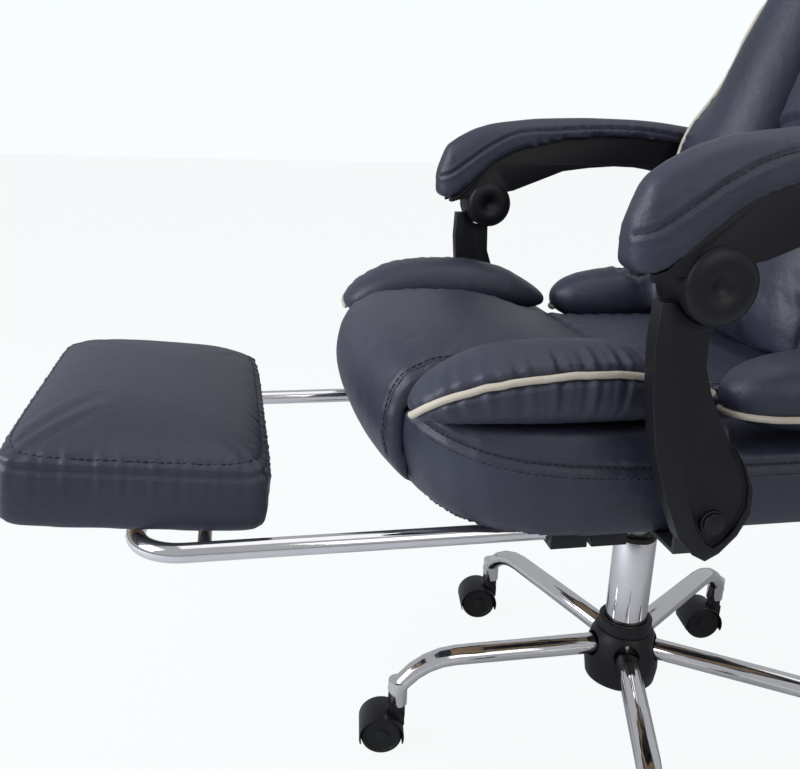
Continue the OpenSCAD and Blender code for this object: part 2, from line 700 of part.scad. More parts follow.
module footrest_cushion() {
    color(leather) pad_place() difference() {
        translate([0, 0, rail_d / 2 + pad_gap]) box_cushion(pad_l, pad_w, pad_h, pad_round, pad_crown, 8, 32, 14);
        translate([-pad_w / 2 + pad_inset - 0.1, -pad_l / 2 + pad_inset - 0.1, rail_d / 2 + pad_gap - cut])
            cube([pad_w - 2 * pad_inset + 0.2, pad_l - 2 * pad_inset + 0.2, pad_board_t + cut]);
    }
}

// Backrest: drawn upright in its own frame, then leaned back about its lower front edge
back_y = 52;
back_z = board_z + boxing_h + 7;
back_bottom_z = board_z + boxing_h + 6;
module back_place() {
    difference() {
        translate([0, back_y, back_z]) rotate([-back_lean, 0, 0]) children();
        translate([-back_w, 0, board_z]) cube([2 * back_w, seat_l, back_bottom_z - board_z]);
    }
}
back_width_shares = [[0, 0.9], [0.1, 0.97], [0.3, 1], [0.5, 0.97], [0.7, 0.86], [0.88, 0.78], [0.96, 0.7], [1, 0.58]];
function back_half(t) = along(back_width_shares, t) * back_w / 2;
module back_outline(inset, bottom, top) {
    pts = [for (k = [0 : 12]) let (t = k / 12) [back_half(t) - inset, lerp(bottom, top, t)]];
    polygon(concat(pts, [for (k = [12 : -1 : 0]) [-pts[k][0], pts[k][1]]]));
}
module back_board() {
    color(board_tone) back_place()
        translate([0, back_pad_t + back_board_t, 0]) rotate([90, 0, 0])
            linear_extrude(back_board_t) back_outline(30, 18, back_l - 24);
}
// Rear cover: it swells slightly to the rear and closes the board in
module back_cover() {
    color(leather) back_place() difference() {
        loft([for (k = [0 : 14])
            let (t = k / 14, w = back_half(t) - 3,
                d = back_cover_t * end_share(2 * t - 1, 4) + back_board_t)
            [for (j = [0 : 15]) let (c = super(360 * (j + 0.5) / 16, 6))
                [c[1] * w, back_pad_t + (c[0] > 0 ? c[0] * d : 0),
                    lerp(2, back_l - 2, t)]]], true);
        translate([0, back_pad_t + back_board_t + 0.1, 0]) rotate([90, 0, 0])
            linear_extrude(back_board_t + cut) back_outline(29.8, 17.8, back_l - 23.8);
    }
}
// Centre panel with a lumbar swell, two cross seams and a head pad
back_swell_shares = [[0, 0.62], [0.06, 0.86], [0.2, 1], [0.32, 0.93], [0.36, 0.86], [0.42, 0.93], [0.6, 0.9],
    [0.66, 0.82], [0.72, 0.95], [0.86, 1], [0.95, 0.82], [1, 0.5]];
module back_centre() {
    w = back_centre_w / 2;
    color(leather) back_place() loft([for (k = [0 : 30])
        let (t = k / 30, d = along(back_swell_shares, t) * back_pad_t)
        [for (j = [0 : 15]) let (c = super(360 * (j + 0.5) / 16 + 180, 4))
            [c[1] * w, c[0] < 0 ? back_pad_t + c[0] * d : back_pad_t, lerp(0, back_l, t)]]], true);
}
// Side wing with the hip bolster that reaches forward beside the seat
bolster_l = 190;
bolster_tip = pillow_front - pillow_l - 9;
bolster_side = 6;
bolster_h = 70;
bolster_w = 86;
bolster_x = seat_w / 2 - bolster_w / 2 + 4;
bolster_z = notch_z + bolster_h / 2 + 3;
// The wing is fuller towards its outer edge, where its piping runs
function wing_full(share) = 1 + 0.35 * pow(max(0, share), 2);
pipe_share = 0.92;
wing_inner = back_centre_w / 2 + 0.2;
function pipe_x(t) = wing_inner + (back_half(t) - wing_inner) / 2 * (1 + pipe_share) + 1;
function pipe_depth(t) = back_pad_t - along(wing_swell_shares, t) * back_pad_t * wing_full(pipe_share)
    * pow(1 - pow(pipe_share, 2.6), 1 / 2.6) - 1;
wing_swell_shares = [[0, 0.7], [0.08, 0.9], [0.2, 1.02], [0.45, 1.06], [0.7, 0.98], [0.9, 0.86], [1, 0.46]];
module back_wing_left() {
    color(leather) difference() {
        back_wing_soft(wing_inner);
        translate([back_half(0.3) - 40, arm_rear_y, arm_rear_z]) rotate([0, 90, 0])
            cylinder(h = back_w, r = arm_pin_d / 2 + soft_gap, $fn = 16);
    }
}
module back_wing_soft(inner) {
    union() {
        back_place() loft([for (k = [0 : 20])
            let (t = k / 20, outer = back_half(t), hw = (outer - inner) / 2,
                d = along(wing_swell_shares, t) * back_pad_t)
            [for (j = [0 : 17]) let (c = super(360 * (j + 0.5) / 18 + 180, 2.6))
                [inner + hw + c[1] * hw, c[0] < 0 ? back_pad_t + c[0] * d * wing_full(c[1]) : back_pad_t,
                    lerp(0, back_l, t)]]], true);
        difference() {
            loft([for (s = stations(10))
                let (t = (s + 1) / 2, e = max(end_share(s, 2.4), 0.15))
                [for (j = [0 : 17]) let (c = super(360 * j / 18, 2.3))
                    [bolster_x + c[1] * bolster_w / 2 * e, -bolster_tip + t * bolster_l,
                        bolster_z + 8 * t + c[0] * bolster_h / 2 * max(e, 0.3)]]]);
            translate([0, -2 * bolster_tip, notch_z + 0.5 - 2 * bolster_h]) cube([seat_w, 2 * bolster_l, 2 * bolster_h]);
        }
    }
}
module back_wing_right() {
    mirror([1, 0, 0]) back_wing_left();
}
// Piping up the outer edge of each wing and over the top
module back_piping() {
    color(cream) {
        back_place() sweep(concat(
            [for (k = [0 : 18]) let (t = k / 18) [pipe_x(t), pipe_depth(t), lerp(20, back_l - 4, t)]],
            [for (k = [1 : 5]) let (a = 90 - 30 * k) [pipe_x(1) * sin(a), pipe_depth(1), back_l + 2 * cos(a)]],
            [for (k = [18 : -1 : 0]) let (t = k / 18) [-pipe_x(t), pipe_depth(t), lerp(20, back_l - 4, t)]]),
            piping_d / 2, 6, [0, 1, 0]);
        for (side = [-1, 1]) sweep([for (k = [0 : 8])
            let (s = stations(10)[k], t = (s + 1) / 2, e = max(end_share(s, 2.4), 0.15), c = super(360 * bolster_side / 18, 2.3),
                dx = c[1] * bolster_w / 2 * e, dz = c[0] * bolster_h / 2 * max(e, 0.3),
                q = [bolster_x + dx, -bolster_tip + t * bolster_l, bolster_z + 8 * t + dz]
                    + (piping_d / 2 + 0.1) * unit([dx, k == 0 ? -pipe_turn : 0, dz]))
            [side * q[0], q[1], q[2]]], piping_d / 2, 6, [0, 0, 1]);
    }
}
// Steel arms on the rear of the board, turning on the hinge pins
back_rear = back_pad_t + back_board_t + back_cover_t + soft_gap;
module back_brackets() {
    x = bracket_x - bracket_t - 0.3;
    color(black) {
        for (s = [-1, 1]) difference() {
            union() {
                translate([s * x - bracket_t / 2, hinge_y, hinge_z]) rotate([0, 90, 0])
                    cylinder(h = bracket_t, r = bracket_r);
                back_place() translate([s * x - bracket_t / 2, back_rear, 40]) cube([bracket_t, 44, 130]);
                back_place() translate([s * x - bracket_t / 2 - 12, back_rear, 60]) cube([bracket_t + 24, bracket_t, 110]);
            }
            translate([s * x - 2 * bracket_t, hinge_y, hinge_z]) rotate([0, 90, 0])
                cylinder(h = 4 * bracket_t, r = hinge_d / 2);
        }
        for (s = [-1, 1]) translate([s * (x - 8), hinge_y, hinge_z]) rotate([0, s * 90, 0])
            cylinder(h = 26, r = hinge_d / 2);
        for (s = [-1, 1]) translate([s * (back_half(0.3) - 34), arm_rear_y, arm_rear_z]) rotate([0, s * 90, 0])
            cylinder(h = arm_x - back_half(0.3) + 34, r = arm_pin_d / 2);
    }
}

// Arm strut: a banana-shaped side plate with a raised front rib
strut_front_shares = [[0, -0.03], [0.03, -0.2], [0.1, -0.4], [0.26, -0.63], [0.46, -0.84], [0.65, -0.95], [0.85, -1],
    [1, -0.98]];
strut_rear_shares = [[1, -0.35], [0.76, -0.32], [0.65, -0.2], [0.49, 0.07], [0.39, 0.3], [0.29, 0.45], [0.19, 0.47],
    [0.1, 0.34], [0.03, 0.14]];
strut_h = 212;
strut_w = 68;
strut_foot_z = strut_pivot_z - 34;
module strut_outline() {
    polygon([for (s = concat(strut_front_shares, strut_rear_shares))
        [strut_pivot_y + s[1] * strut_w, strut_foot_z + s[0] * strut_h]]);
}
rib_w = 11;
recess_share = 0.7;
module arm_strut_left() {
    color(black) difference() {
        union() {
            translate([strut_in_x, 0, 0]) rotate([90, 0, 90]) {
                linear_extrude(strut_t - 5) strut_outline();
                linear_extrude(strut_t) difference() {
                    strut_outline();
                    polygon([for (s = concat(strut_front_shares, strut_rear_shares))
                        [strut_pivot_y + s[1] * strut_w * recess_share + rib_w / 2,
                            strut_foot_z + rib_w + s[0] * (strut_h - 3 * rib_w)]]);
                }
                translate([strut_pivot_y, strut_pivot_z]) linear_extrude(strut_t) circle(bolt_cap_r + bolt_boss);
            }
        }
        translate([0, strut_pivot_y, strut_pivot_z]) rotate([0, 90, 0])
            cylinder(h = 2 * arm_x, r = arm_pin_d / 2 + run_gap);
        translate([0, strut_pivot_y + knuckle_dy, strut_pivot_z + knuckle_dz]) rotate([0, 90, 0])
            cylinder(h = 2 * arm_x, r = knuckle_r + 0.8);
    }
}
module arm_strut_right() {
    mirror([1, 0, 0]) arm_strut_left();
}

// Arm body: the plastic carrier with its knuckle, and the padded top
arm_line_shares = [[0, 0.5], [0.03, 0.72], [0.1, 0.86], [0.2, 0.94], [0.35, 0.985], [0.5, 1], [0.7, 0.995], [0.85, 0.95], [1, 0.86]];
arm_lip_shares = [[0, 0.27], [0.03, 0.22], [0.07, 0.26], [0.114, 0.39], [0.177, 0.56], [0.28, 0.71], [0.45, 0.81], [0.62, 0.83],
    [0.8, 0.79], [1, 0.66]];
arm_under_shares = [[0, 0.19], [0.05, 0.195], [0.068, 0.215], [0.15, 0.25], [0.277, 0.32], [0.34, 0.41], [0.42, 0.5], [0.56, 0.55],
    [0.7, 0.54], [0.825, 0.46], [1, 0.36]];
arm_body_share = 0.045;
arm_h = 140;
arm_stations = stations(18);
function arm_top(t) = arm_top_z - arm_h * (1 - along(arm_line_shares, t));
function arm_lip(t) = arm_top_z - arm_h * (1 - along(arm_lip_shares, t));
function arm_under(t) = arm_top_z - arm_h * (1 - along(arm_under_shares, t));
slot_r = 56;
dimple_r = 9;
module arm_body_left() {
    ts = concat([arm_body_share], [for (a = arm_stations) if (a > 2 * arm_body_share - 0.98 && a < 0.999) (a + 1) / 2]);
    k = knuckle_dy + strut_pivot_y;
    kz = strut_pivot_z + knuckle_dz;
    color(black) difference() {
        union() {
            difference() {
                translate([arm_x - arm_body_w / 2, 0, 0]) rotate([90, 0, 90]) linear_extrude(arm_body_w)
                    polygon(concat(
                        [for (t = ts) [-arm_tip + t * arm_l, arm_under(t)]],
                        [for (i = [len(ts) - 1 : -1 : 0]) [-arm_tip + ts[i] * arm_l, arm_lip(ts[i])]]));
                translate([strut_in_x - 0.6, k, kz]) rotate([0, 90, 0])
                    cylinder(h = strut_t + 1.2, r = slot_r);
            }
            translate([arm_x - arm_body_w / 2 - 2, k, kz]) rotate([0, 90, 0])
                cylinder(h = arm_body_w + 4, r = knuckle_r);
        }
        for (s = [-1, 1]) translate([arm_x + s * (arm_body_w / 2 + 2), k, kz]) sphere(r = dimple_r);
        translate([0, arm_rear_y, arm_rear_z]) rotate([0, 90, 0])
            cylinder(h = arm_x + 1, r = arm_pin_d / 2 + run_gap);
    }
}
module arm_body_right() {
    mirror([1, 0, 0]) arm_body_left();
}
module arm_pad_left() {
    color(leather) loft([for (s = arm_stations)
        let (t = (s + 1) / 2, e = max(end_share(s, 4), 0.25), lip = arm_lip(t), top = arm_top(t),
            h = max(top - lip, 6))
        [for (j = [0 : 17]) let (c = super(360 * (j + 0.5) / 18, 2.8))
            [arm_x + c[1] * arm_pad_w / 2 * e, -arm_tip + t * arm_l,
                c[0] < 0 ? lip : lip + c[0] * h]]]);
}
module arm_pad_right() {
    mirror([1, 0, 0]) arm_pad_left();
}

// Lever at the rear right that unlocks the backrest
recline_x = -seat_w / 2 - 10;
module recline_lever() {
    color(black) {
        translate([recline_x, recline_y, recline_z]) rotate([0, 90, 0])
            cylinder(h = -recline_x - bracket_x + 8, r = recline_shaft_r);
        hull() {
            translate([recline_x - 8, recline_y, recline_z]) rotate([0, 90, 0]) cylinder(h = 10, r = 11, $fn = 32);
            translate([recline_x - 8, recline_y - 78, recline_z - 6]) rotate([0, 90, 0])
                cylinder(h = 8, r = 7, $fn = 32);
        }
    }
}

// Casters
hood_r = wheel_d / 2 + 2;
hood_w = 2 * wheel_w + 10;
axle_z = wheel_d / 2;
hood_top_z = hood_r + axle_z;
stem_top_z = socket_z + socket_h - socket_roof - 1;
module caster_place(i) {
    leg_place(i) translate([base_r, 0, 0]) rotate([0, 0, caster_heading - 270 - 360 / leg_n * i]) children();
}
fork_w = 5;
module caster_hood(i) {
    color(black) caster_place(i) difference() {
        union() {
            translate([0, 0, hood_top_z - 10]) cylinder(h = stem_top_z - hood_top_z + 10, r = stem_d / 2);
            translate([0, 0, hood_top_z - 12]) cylinder(h = socket_z - hood_top_z + 11, r = stem_d / 2 + 4);
            difference() {
                translate([caster_trail, hood_w / 2, axle_z]) rotate([90, 0, 0]) cylinder(h = hood_w, r = hood_r);
                translate([caster_trail, hood_w, axle_z]) rotate([90, 0, 0])
                    cylinder(h = 2 * hood_w, r = wheel_d / 2 + 0.6);
                translate([caster_trail - 2 * hood_r, -hood_w, -hood_r]) cube([4 * hood_r, 2 * hood_w, hood_r + axle_z - 8]);
            }
            translate([0, -fork_w / 2, axle_z - 9]) cube([caster_trail, fork_w, hood_r - 2]);
            translate([caster_trail, fork_w / 2, axle_z]) rotate([90, 0, 0]) cylinder(h = fork_w, r = axle_d);
            translate([-stem_d / 2 - 3, -stem_d / 2 - 3, axle_z + 8]) cube([stem_d + 2, stem_d + 6, hood_r - 10]);
        }
        translate([caster_trail, hood_w, axle_z]) rotate([90, 0, 0])
            cylinder(h = 2 * hood_w, r = axle_d / 2 + run_gap);
        for (s = [-1, 1]) translate([caster_trail, s * (fork_w / 2 + 0.6 + wheel_w / 2) + wheel_w / 2 + 0.5, axle_z])
            rotate([90, 0, 0]) cylinder(h = wheel_w + 1, r = wheel_d / 2 + 0.6);
    }
}
module caster_wheels(i) {
    color(black) caster_place(i) translate([caster_trail, 0, axle_z]) rotate([90, 0, 0]) {
        for (s = [-1, 1]) translate([0, 0, s * (fork_w / 2 + 0.6 + wheel_w / 2)])
            rotate_extrude() polygon([[0, -wheel_w / 2], [wheel_d / 2 - 3, -wheel_w / 2],
                [wheel_d / 2, -wheel_w / 2 + 3], [wheel_d / 2, wheel_w / 2 - 3],
                [wheel_d / 2 - 3, wheel_w / 2], [0, wheel_w / 2]]);
        cylinder(h = fork_w + 4, r = axle_d / 2, center = true);
    }
}
module caster_hood_1() caster_hood(0);
module caster_hood_2() caster_hood(1);
module caster_hood_3() caster_hood(2);
module caster_hood_4() caster_hood(3);
module caster_hood_5() caster_hood(4);
module caster_wheels_1() caster_wheels(0);
module caster_wheels_2() caster_wheels(1);
module caster_wheels_3() caster_wheels(2);
module caster_wheels_4() caster_wheels(3);
module caster_wheels_5() caster_wheels(4);

base_hub();
hub_cover();
base_leg_1();
base_leg_2();
base_leg_3();
base_leg_4();
base_leg_5();
column_tube();
column_bush();
retaining_clip();
piston_rod();
thrust_bearing();
lift_cylinder();
tilt_housing();
tilt_pin();
tilt_spring();
tension_knob();
height_lever();
release_button();
seat_plate();
seat_board();
seat_boxing();
seat_centre();
side_pillow_left();
side_pillow_right();
seat_piping_left();
seat_piping_right();
rail_guides();
seat_brackets();
strut_bolts();
footrest_tube();
footrest_rod();
footrest_board();
footrest_saddles();
footrest_cushion();
back_board();
back_brackets();
back_cover();
back_centre();
back_wing_left();
back_wing_right();
back_piping();
arm_strut_left();
arm_strut_right();
arm_body_left();
arm_body_right();
arm_pad_left();
arm_pad_right();
recline_lever();
caster_hood_1();
caster_hood_2();
caster_hood_3();
caster_hood_4();
caster_hood_5();
caster_wheels_1();
caster_wheels_2();
caster_wheels_3();
caster_wheels_4();
caster_wheels_5();
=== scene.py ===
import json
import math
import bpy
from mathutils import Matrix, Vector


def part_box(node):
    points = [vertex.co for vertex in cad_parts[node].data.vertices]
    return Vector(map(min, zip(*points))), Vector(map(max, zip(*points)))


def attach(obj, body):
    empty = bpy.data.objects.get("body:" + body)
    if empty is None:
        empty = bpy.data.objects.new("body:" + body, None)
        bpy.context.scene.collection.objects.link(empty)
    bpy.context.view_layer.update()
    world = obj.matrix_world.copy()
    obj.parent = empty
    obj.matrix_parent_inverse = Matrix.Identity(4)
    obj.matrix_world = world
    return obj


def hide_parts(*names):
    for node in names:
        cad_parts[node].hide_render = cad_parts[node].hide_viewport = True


bl_info = {
    "name": "Reclining office chair",
    "version": (1, 0, 0),
    "blender": (4, 5, 0),
    "location": "View3D > Sidebar > Chair",
    "description": "Dresses the reclining office chair with leather, piping, stitching, chrome and moulded plastic",
    "category": "Object",
}

import bmesh
import bpy
import numpy as np
from mathutils import Matrix, Vector
from mathutils.bvhtree import BVHTree

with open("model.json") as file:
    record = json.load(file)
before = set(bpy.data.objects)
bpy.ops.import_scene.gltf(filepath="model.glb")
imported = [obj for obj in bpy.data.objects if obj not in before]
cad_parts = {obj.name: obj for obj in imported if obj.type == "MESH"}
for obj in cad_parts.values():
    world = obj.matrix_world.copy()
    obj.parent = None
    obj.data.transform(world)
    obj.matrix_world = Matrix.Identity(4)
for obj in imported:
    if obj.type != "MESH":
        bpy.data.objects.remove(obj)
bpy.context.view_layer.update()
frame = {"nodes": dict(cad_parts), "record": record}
BODY_OF = {n: b for b, group in frame["record"]["behaviour"]["bodies"].items() for n in group}

SIDES = (("left", 1), ("right", -1))
MERGE = 1e-6  # metres between points that count as one
DOWN = (0, 0, -1)


# ---------------- shader maths

class Sock:
    """A shader socket that adds Math nodes for the operators used on it."""

    def __init__(self, tree, socket):
        self.tree, self.socket = tree, socket

    def _math(self, operation, other, swap=False):
        node = self.tree.nodes.new("ShaderNodeMath")
        node.operation = operation
        for slot, value in zip(node.inputs, (other, self) if swap else (self, other)):
            if isinstance(value, Sock):
                self.tree.links.new(value.socket, slot)
            else:
                slot.default_value = value
        return Sock(self.tree, node.outputs[0])

    def __add__(self, other): return self._math("ADD", other)
    def __radd__(self, other): return self._math("ADD", other, True)
    def __sub__(self, other): return self._math("SUBTRACT", other)
    def __rsub__(self, other): return self._math("SUBTRACT", other, True)
    def __mul__(self, other): return self._math("MULTIPLY", other)
    def __rmul__(self, other): return self._math("MULTIPLY", other, True)
    def clamp(self): return self._math("MINIMUM", 1.0)._math("MAXIMUM", 0.0)
    def ramp(self, low, high): return ((self - low) * (1.0 / (high - low))).clamp()


class Finish:
    """A node material: its shader, and one method that adds any other node."""

    def __init__(self, name, **values):
        self.material = bpy.data.materials.new(name)
        self.material.use_nodes = True
        self.tree = self.material.node_tree
        self.shader = self.tree.nodes["Principled BSDF"]
        for key, value in values.items():
            self.shader.inputs[key.replace("_", " ")].default_value = value

    def node(self, kind, settings=None, out=0, **sockets):
        """Adds a node. A socket goes by its name, or by i and its number where names repeat."""
        node = self.tree.nodes.new(kind)
        for key, value in (settings or {}).items():
            setattr(node, key, value)
        for key, value in sockets.items():
            slot = node.inputs[int(key[1:]) if key[1:].isdigit() else key.replace("_", " ")]
            if isinstance(value, Sock):
                self.tree.links.new(value.socket, slot)
            else:
                slot.default_value = value
        return Sock(self.tree, node.outputs[out])

    def object_space(self):
        return self.node("ShaderNodeTexCoord", out=3)

    def stretched(self, x, y, z):
        return self.node("ShaderNodeMapping", Vector=self.object_space(), Scale=(x, y, z))

    def noise(self, scale, detail=3.0, rough=0.5, where=None):
        return self.node("ShaderNodeTexNoise", Vector=where or self.object_space(), Scale=scale, Detail=detail,
                         Roughness=rough)

    def cells(self, scale):
        return self.node("ShaderNodeTexVoronoi", {"feature": "DISTANCE_TO_EDGE"}, Vector=self.object_space(),
                         Scale=scale)

    def mix(self, factor, a, b):
        return self.node("ShaderNodeMix", {"data_type": "RGBA"}, out=2, i0=factor, i6=a, i7=b)

    def bump(self, height, distance, strength=1.0, under=None):
        sockets = {"Height": height, "Distance": distance, "Strength": strength}
        if under:
            sockets["Normal"] = under
        return self.node("ShaderNodeBump", **sockets)

    def put(self, socket, value):
        self.tree.links.new(value.socket, self.shader.inputs[socket])


def rgb(colour, k=1.0):
    return (colour[0] * k, colour[1] * k, colour[2] * k, 1.0)


def faded(colour, red, green, blue):
    return rgb((colour[0] * red, colour[1] * green, colour[2] * blue))


def leather(name, colour, rough):
    """Bonded leather: pebbled grain, soft creases, slightly polished (smoother) high spots, and painted shade that
    darkens the hollows between the pebbles.
    """
    f = Finish(name, IOR=1.5, Specular_IOR_Level=0.5)
    broad, fine = f.noise(9.0, 4.0, 0.6), f.noise(240.0, 3.0, 0.6)
    pebble = f.cells(620.0).ramp(0.0, 0.34)
    crease = f.noise(38.0, 5.0, 0.62).ramp(0.36, 0.64)
    tone = f.mix(broad.ramp(0.3, 0.7), rgb(colour, 0.86), rgb(colour, 1.14))
    # Painted shade: the colour darkens towards half in the hollows between the pebbles, where the grain is low.
    f.put("Base Color", f.mix((1.0 - pebble) * 0.35, tone, rgb(colour, 0.5)))
    f.put("Roughness", rough + 0.10 * (fine - 0.5) + 0.08 * (broad - 0.5) + 0.05 * (1.0 - pebble))
    f.put("Normal", f.bump(pebble * 0.7 + fine * 0.5, 0.00016, 0.75, f.bump(crease, 0.0011, 0.35)))
    return f.material


def cord_leather(name, colour):
    """Thin leather stretched over a cord, with fine cross ripples from the needle."""
    f = Finish(name, Roughness=0.55, IOR=1.45)
    grain, ripple = f.noise(420.0, 3.0, 0.6), f.noise(160.0, 2.0, 0.5)
    soil = f.noise(26.0, 4.0, 0.6).ramp(0.42, 0.75)
    f.put("Base Color", f.mix(soil * 0.5, rgb(colour), faded(colour, 0.78, 0.73, 0.66)))
    f.put("Roughness", 0.5 + 0.15 * grain)
    f.put("Normal", f.bump(grain * 0.4 + ripple, 0.0004, 0.6))
    return f.material


def moulded(name, colour, rough, texture=1.0):
    """Moulded nylon with a fine spark-eroded texture and rubbed patches."""
    f = Finish(name, IOR=1.5, Specular_IOR_Level=0.3)
    spark, broad = f.noise(1500.0, 2.0, 0.7), f.noise(14.0, 4.0, 0.55)
    rub = f.noise(55.0, 5.0, 0.7).ramp(0.56, 0.8)
    f.put("Base Color", f.mix(rub * 0.35, rgb(colour), rgb(colour, 1.9)))
    f.put("Roughness", rough + 0.12 * (broad - 0.5) + 0.1 * (spark - 0.5) - 0.05 * rub)
    f.put("Normal", f.bump(spark, 0.00007 * texture, 0.6, f.bump(broad, 0.0007, 0.25)))
    return f.material


def plated(name, colour):
    """Chrome plate on ground tube: near mirror, with faint orange peel, smudges and fine scratches."""
    f = Finish(name, Metallic=1.0)
    peel, smudge = f.noise(120.0, 2.0, 0.5), f.noise(22.0, 5.0, 0.65)
    scratch = f.noise(1.0, 2.0, 0.5, f.stretched(40.0, 1500.0, 1500.0)).ramp(0.6, 0.75)
    f.put("Base Color", f.mix(smudge.ramp(0.4, 0.75) * 0.25, rgb(colour), rgb(colour, 0.72)))
    f.put("Roughness", 0.06 + 0.10 * smudge.ramp(0.45, 0.8) + 0.04 * scratch)
    f.put("Normal", f.bump(peel, 0.00012, 0.35))
    return f.material


def turned_steel(name, colour):
    """Zinc-plated turned steel with brushed rings."""
    f = Finish(name, Metallic=1.0)
    rings, stain = f.noise(1.0, 3.0, 0.6, f.stretched(60.0, 60.0, 2600.0)), f.noise(30.0, 4.0, 0.6)
    f.put("Base Color", f.mix(stain.ramp(0.35, 0.8), rgb(colour), faded(colour, 0.8, 0.78, 0.7)))
    f.put("Roughness", 0.24 + 0.2 * rings)
    f.put("Normal", f.bump(rings, 0.00012, 0.5))
    return f.material


def powder(name, colour):
    """Powder-coated steel: fine leathery orange peel and bare rubbed corners."""
    f = Finish(name, IOR=1.5)
    peel, broad = f.noise(520.0, 2.0, 0.5), f.noise(17.0, 4.0, 0.6)
    rub = f.noise(70.0, 6.0, 0.75).ramp(0.66, 0.78)
    f.put("Base Color", f.mix(rub * 0.6, rgb(colour), rgb((0.12, 0.12, 0.125))))
    f.put("Roughness", 0.38 + 0.15 * broad)
    f.put("Normal", f.bump(peel, 0.00022, 0.7))
    return f.material


def ply(name):
    """Raw plywood: long grain on the faces and stripes of veneer at the edges."""
    f = Finish(name, Roughness=0.6)
    grain = f.noise(1.0, 6.0, 0.65, f.stretched(6.0, 90.0, 90.0))
    stripe = f.node("ShaderNodeTexWave", {"bands_direction": "Z"}, out=1, Vector=f.stretched(1.0, 1.0, 430.0),
                    Scale=1.0, Distortion=0.6)
    wood = f.mix(grain.ramp(0.3, 0.7), rgb((0.36, 0.24, 0.13)), rgb((0.58, 0.42, 0.25)))
    f.put("Base Color", f.mix(stripe * 0.3, wood, rgb((0.25, 0.15, 0.08))))
    f.put("Normal", f.bump(grain, 0.0004, 0.5))
    return f.material


def thread(name, colour):
    """Waxed sewing thread."""
    f = Finish(name, Roughness=0.5)
    twist = f.noise(1800.0, 2.0, 0.5)
    f.put("Base Color", f.mix(twist, rgb(colour, 0.7), rgb(colour, 1.5)))
    f.put("Normal", f.bump(twist, 0.0002, 0.6))
    return f.material


LOOKS = {}


def prepare_looks(s):
    LOOKS.update(
        leather=leather("black_leather", s.leather_colour, s.leather_roughness),
        piping=cord_leather("cream_piping", s.piping_colour),
        plastic=moulded("black_nylon", s.plastic_colour, 0.42),
        gloss=moulded("smooth_black_nylon", s.plastic_colour, 0.3, 0.5),
        tread=moulded("wheel_tread", (0.012, 0.012, 0.013), 0.6, 1.5),
        chrome=plated("chrome_plate", (0.72, 0.70, 0.71)),
        steel=turned_steel("zinc_steel", (0.5, 0.5, 0.52)),
        powder=powder("black_powder_coat", (0.018, 0.018, 0.02)),
        ply=ply("plywood"),
        thread=thread("black_thread", (0.006, 0.006, 0.008)),
    )


# ---------------- mesh helpers

def vectors(items, key):
    values = np.empty(len(items) * 3, np.float32)
    items.foreach_get(key, values)
    return values.reshape(-1, 3).astype(float)


def coords(mesh):
    return vectors(mesh.vertices, "co")


def normals(mesh):
    return vectors(mesh.vertex_normals, "vector")


def place(mesh, co):
    mesh.vertices.foreach_set("co", np.asarray(co, np.float32).ravel())
    mesh.update()


def evaluated(obj):
    return obj.evaluated_get(bpy.context.evaluated_depsgraph_get())


def bm_of(*meshes):
    bm = bmesh.new()
    for mesh in meshes:
        bm.from_mesh(mesh)
    return bm


def linked(name, data):
    obj = bpy.data.objects.new(name, data)
    bpy.context.scene.collection.objects.link(obj)
    return obj


def add(name, mesh, look, body, replaces=()):
    """Puts a mesh in the scene as a piece of a body, with its material."""
    obj = linked(name, mesh)
    mesh.materials.clear()
    mesh.materials.append(LOOKS[look])
    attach(obj, body)
    if replaces:
        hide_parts(*replaces)
    return obj


def mesh_of(bm, name, sharp=None):
    """A mesh with its faces turned outward; sharp is the angle in degrees past which an edge stays hard."""
    bmesh.ops.remove_doubles(bm, verts=bm.verts, dist=MERGE)
    bmesh.ops.recalc_face_normals(bm, faces=bm.faces)
    mesh = bpy.data.meshes.new(name)
    bm.to_mesh(mesh)
    bm.free()
    mesh.shade_smooth()
    if sharp:
        mesh.set_sharp_from_angle(angle=math.radians(sharp))
    return mesh


def soften(bm, width, angle=35.0, segments=2):
    """Rounds the edges that turn by more than an angle in degrees."""
    edges = [e for e in bm.edges if len(e.link_faces) == 2 and e.calc_face_angle(0.0) > math.radians(angle)]
    if edges:
        bmesh.ops.bevel(bm, geom=edges, offset=width, affect="EDGES", segments=segments, profile=0.5,
                        material=-1, clamp_overlap=True)


def finished(node, look, bevel, angle=35.0, segments=2):
    """A copy of a rigid CAD node with its edges broken, standing in its place."""
    bm = bm_of(frame["nodes"][node].data)
    bmesh.ops.remove_doubles(bm, verts=bm.verts, dist=MERGE)
    bmesh.ops.dissolve_limit(bm, angle_limit=math.radians(0.6), verts=bm.verts, edges=bm.edges)
    soften(bm, bevel, angle, segments)
    return add(node + "_finished", mesh_of(bm, node, 38), look, BODY_OF[node], [node])


def line(points, n=60):
    """Evenly spaced points on a smooth curve through the given ones."""
    p = [Vector(q) for q in points]
    last, steps = len(p) - 1, 16
    fine = []
    for i in range(last):
        a, b, c, d = p[max(0, i - 1)], p[i], p[i + 1], p[min(last, i + 2)]
        for k in range(steps):
            t = k / steps
            fine.append(0.5 * (2 * b + (c - a) * t + (2 * a - 5 * b + 4 * c - d) * t * t
                               + (3 * b - a - 3 * c + d) * t ** 3))
    fine.append(p[-1].copy())
    along = np.cumsum([0.0] + [(fine[i + 1] - fine[i]).length for i in range(len(fine) - 1)])
    arr = np.array([list(q) for q in fine])
    return [Vector([np.interp(w, along, arr[:, k]) for k in range(3)]) for w in np.linspace(0, along[-1], n)]


def mirrored(points):
    return [Vector((-q.x, q.y, q.z)) for q in points]


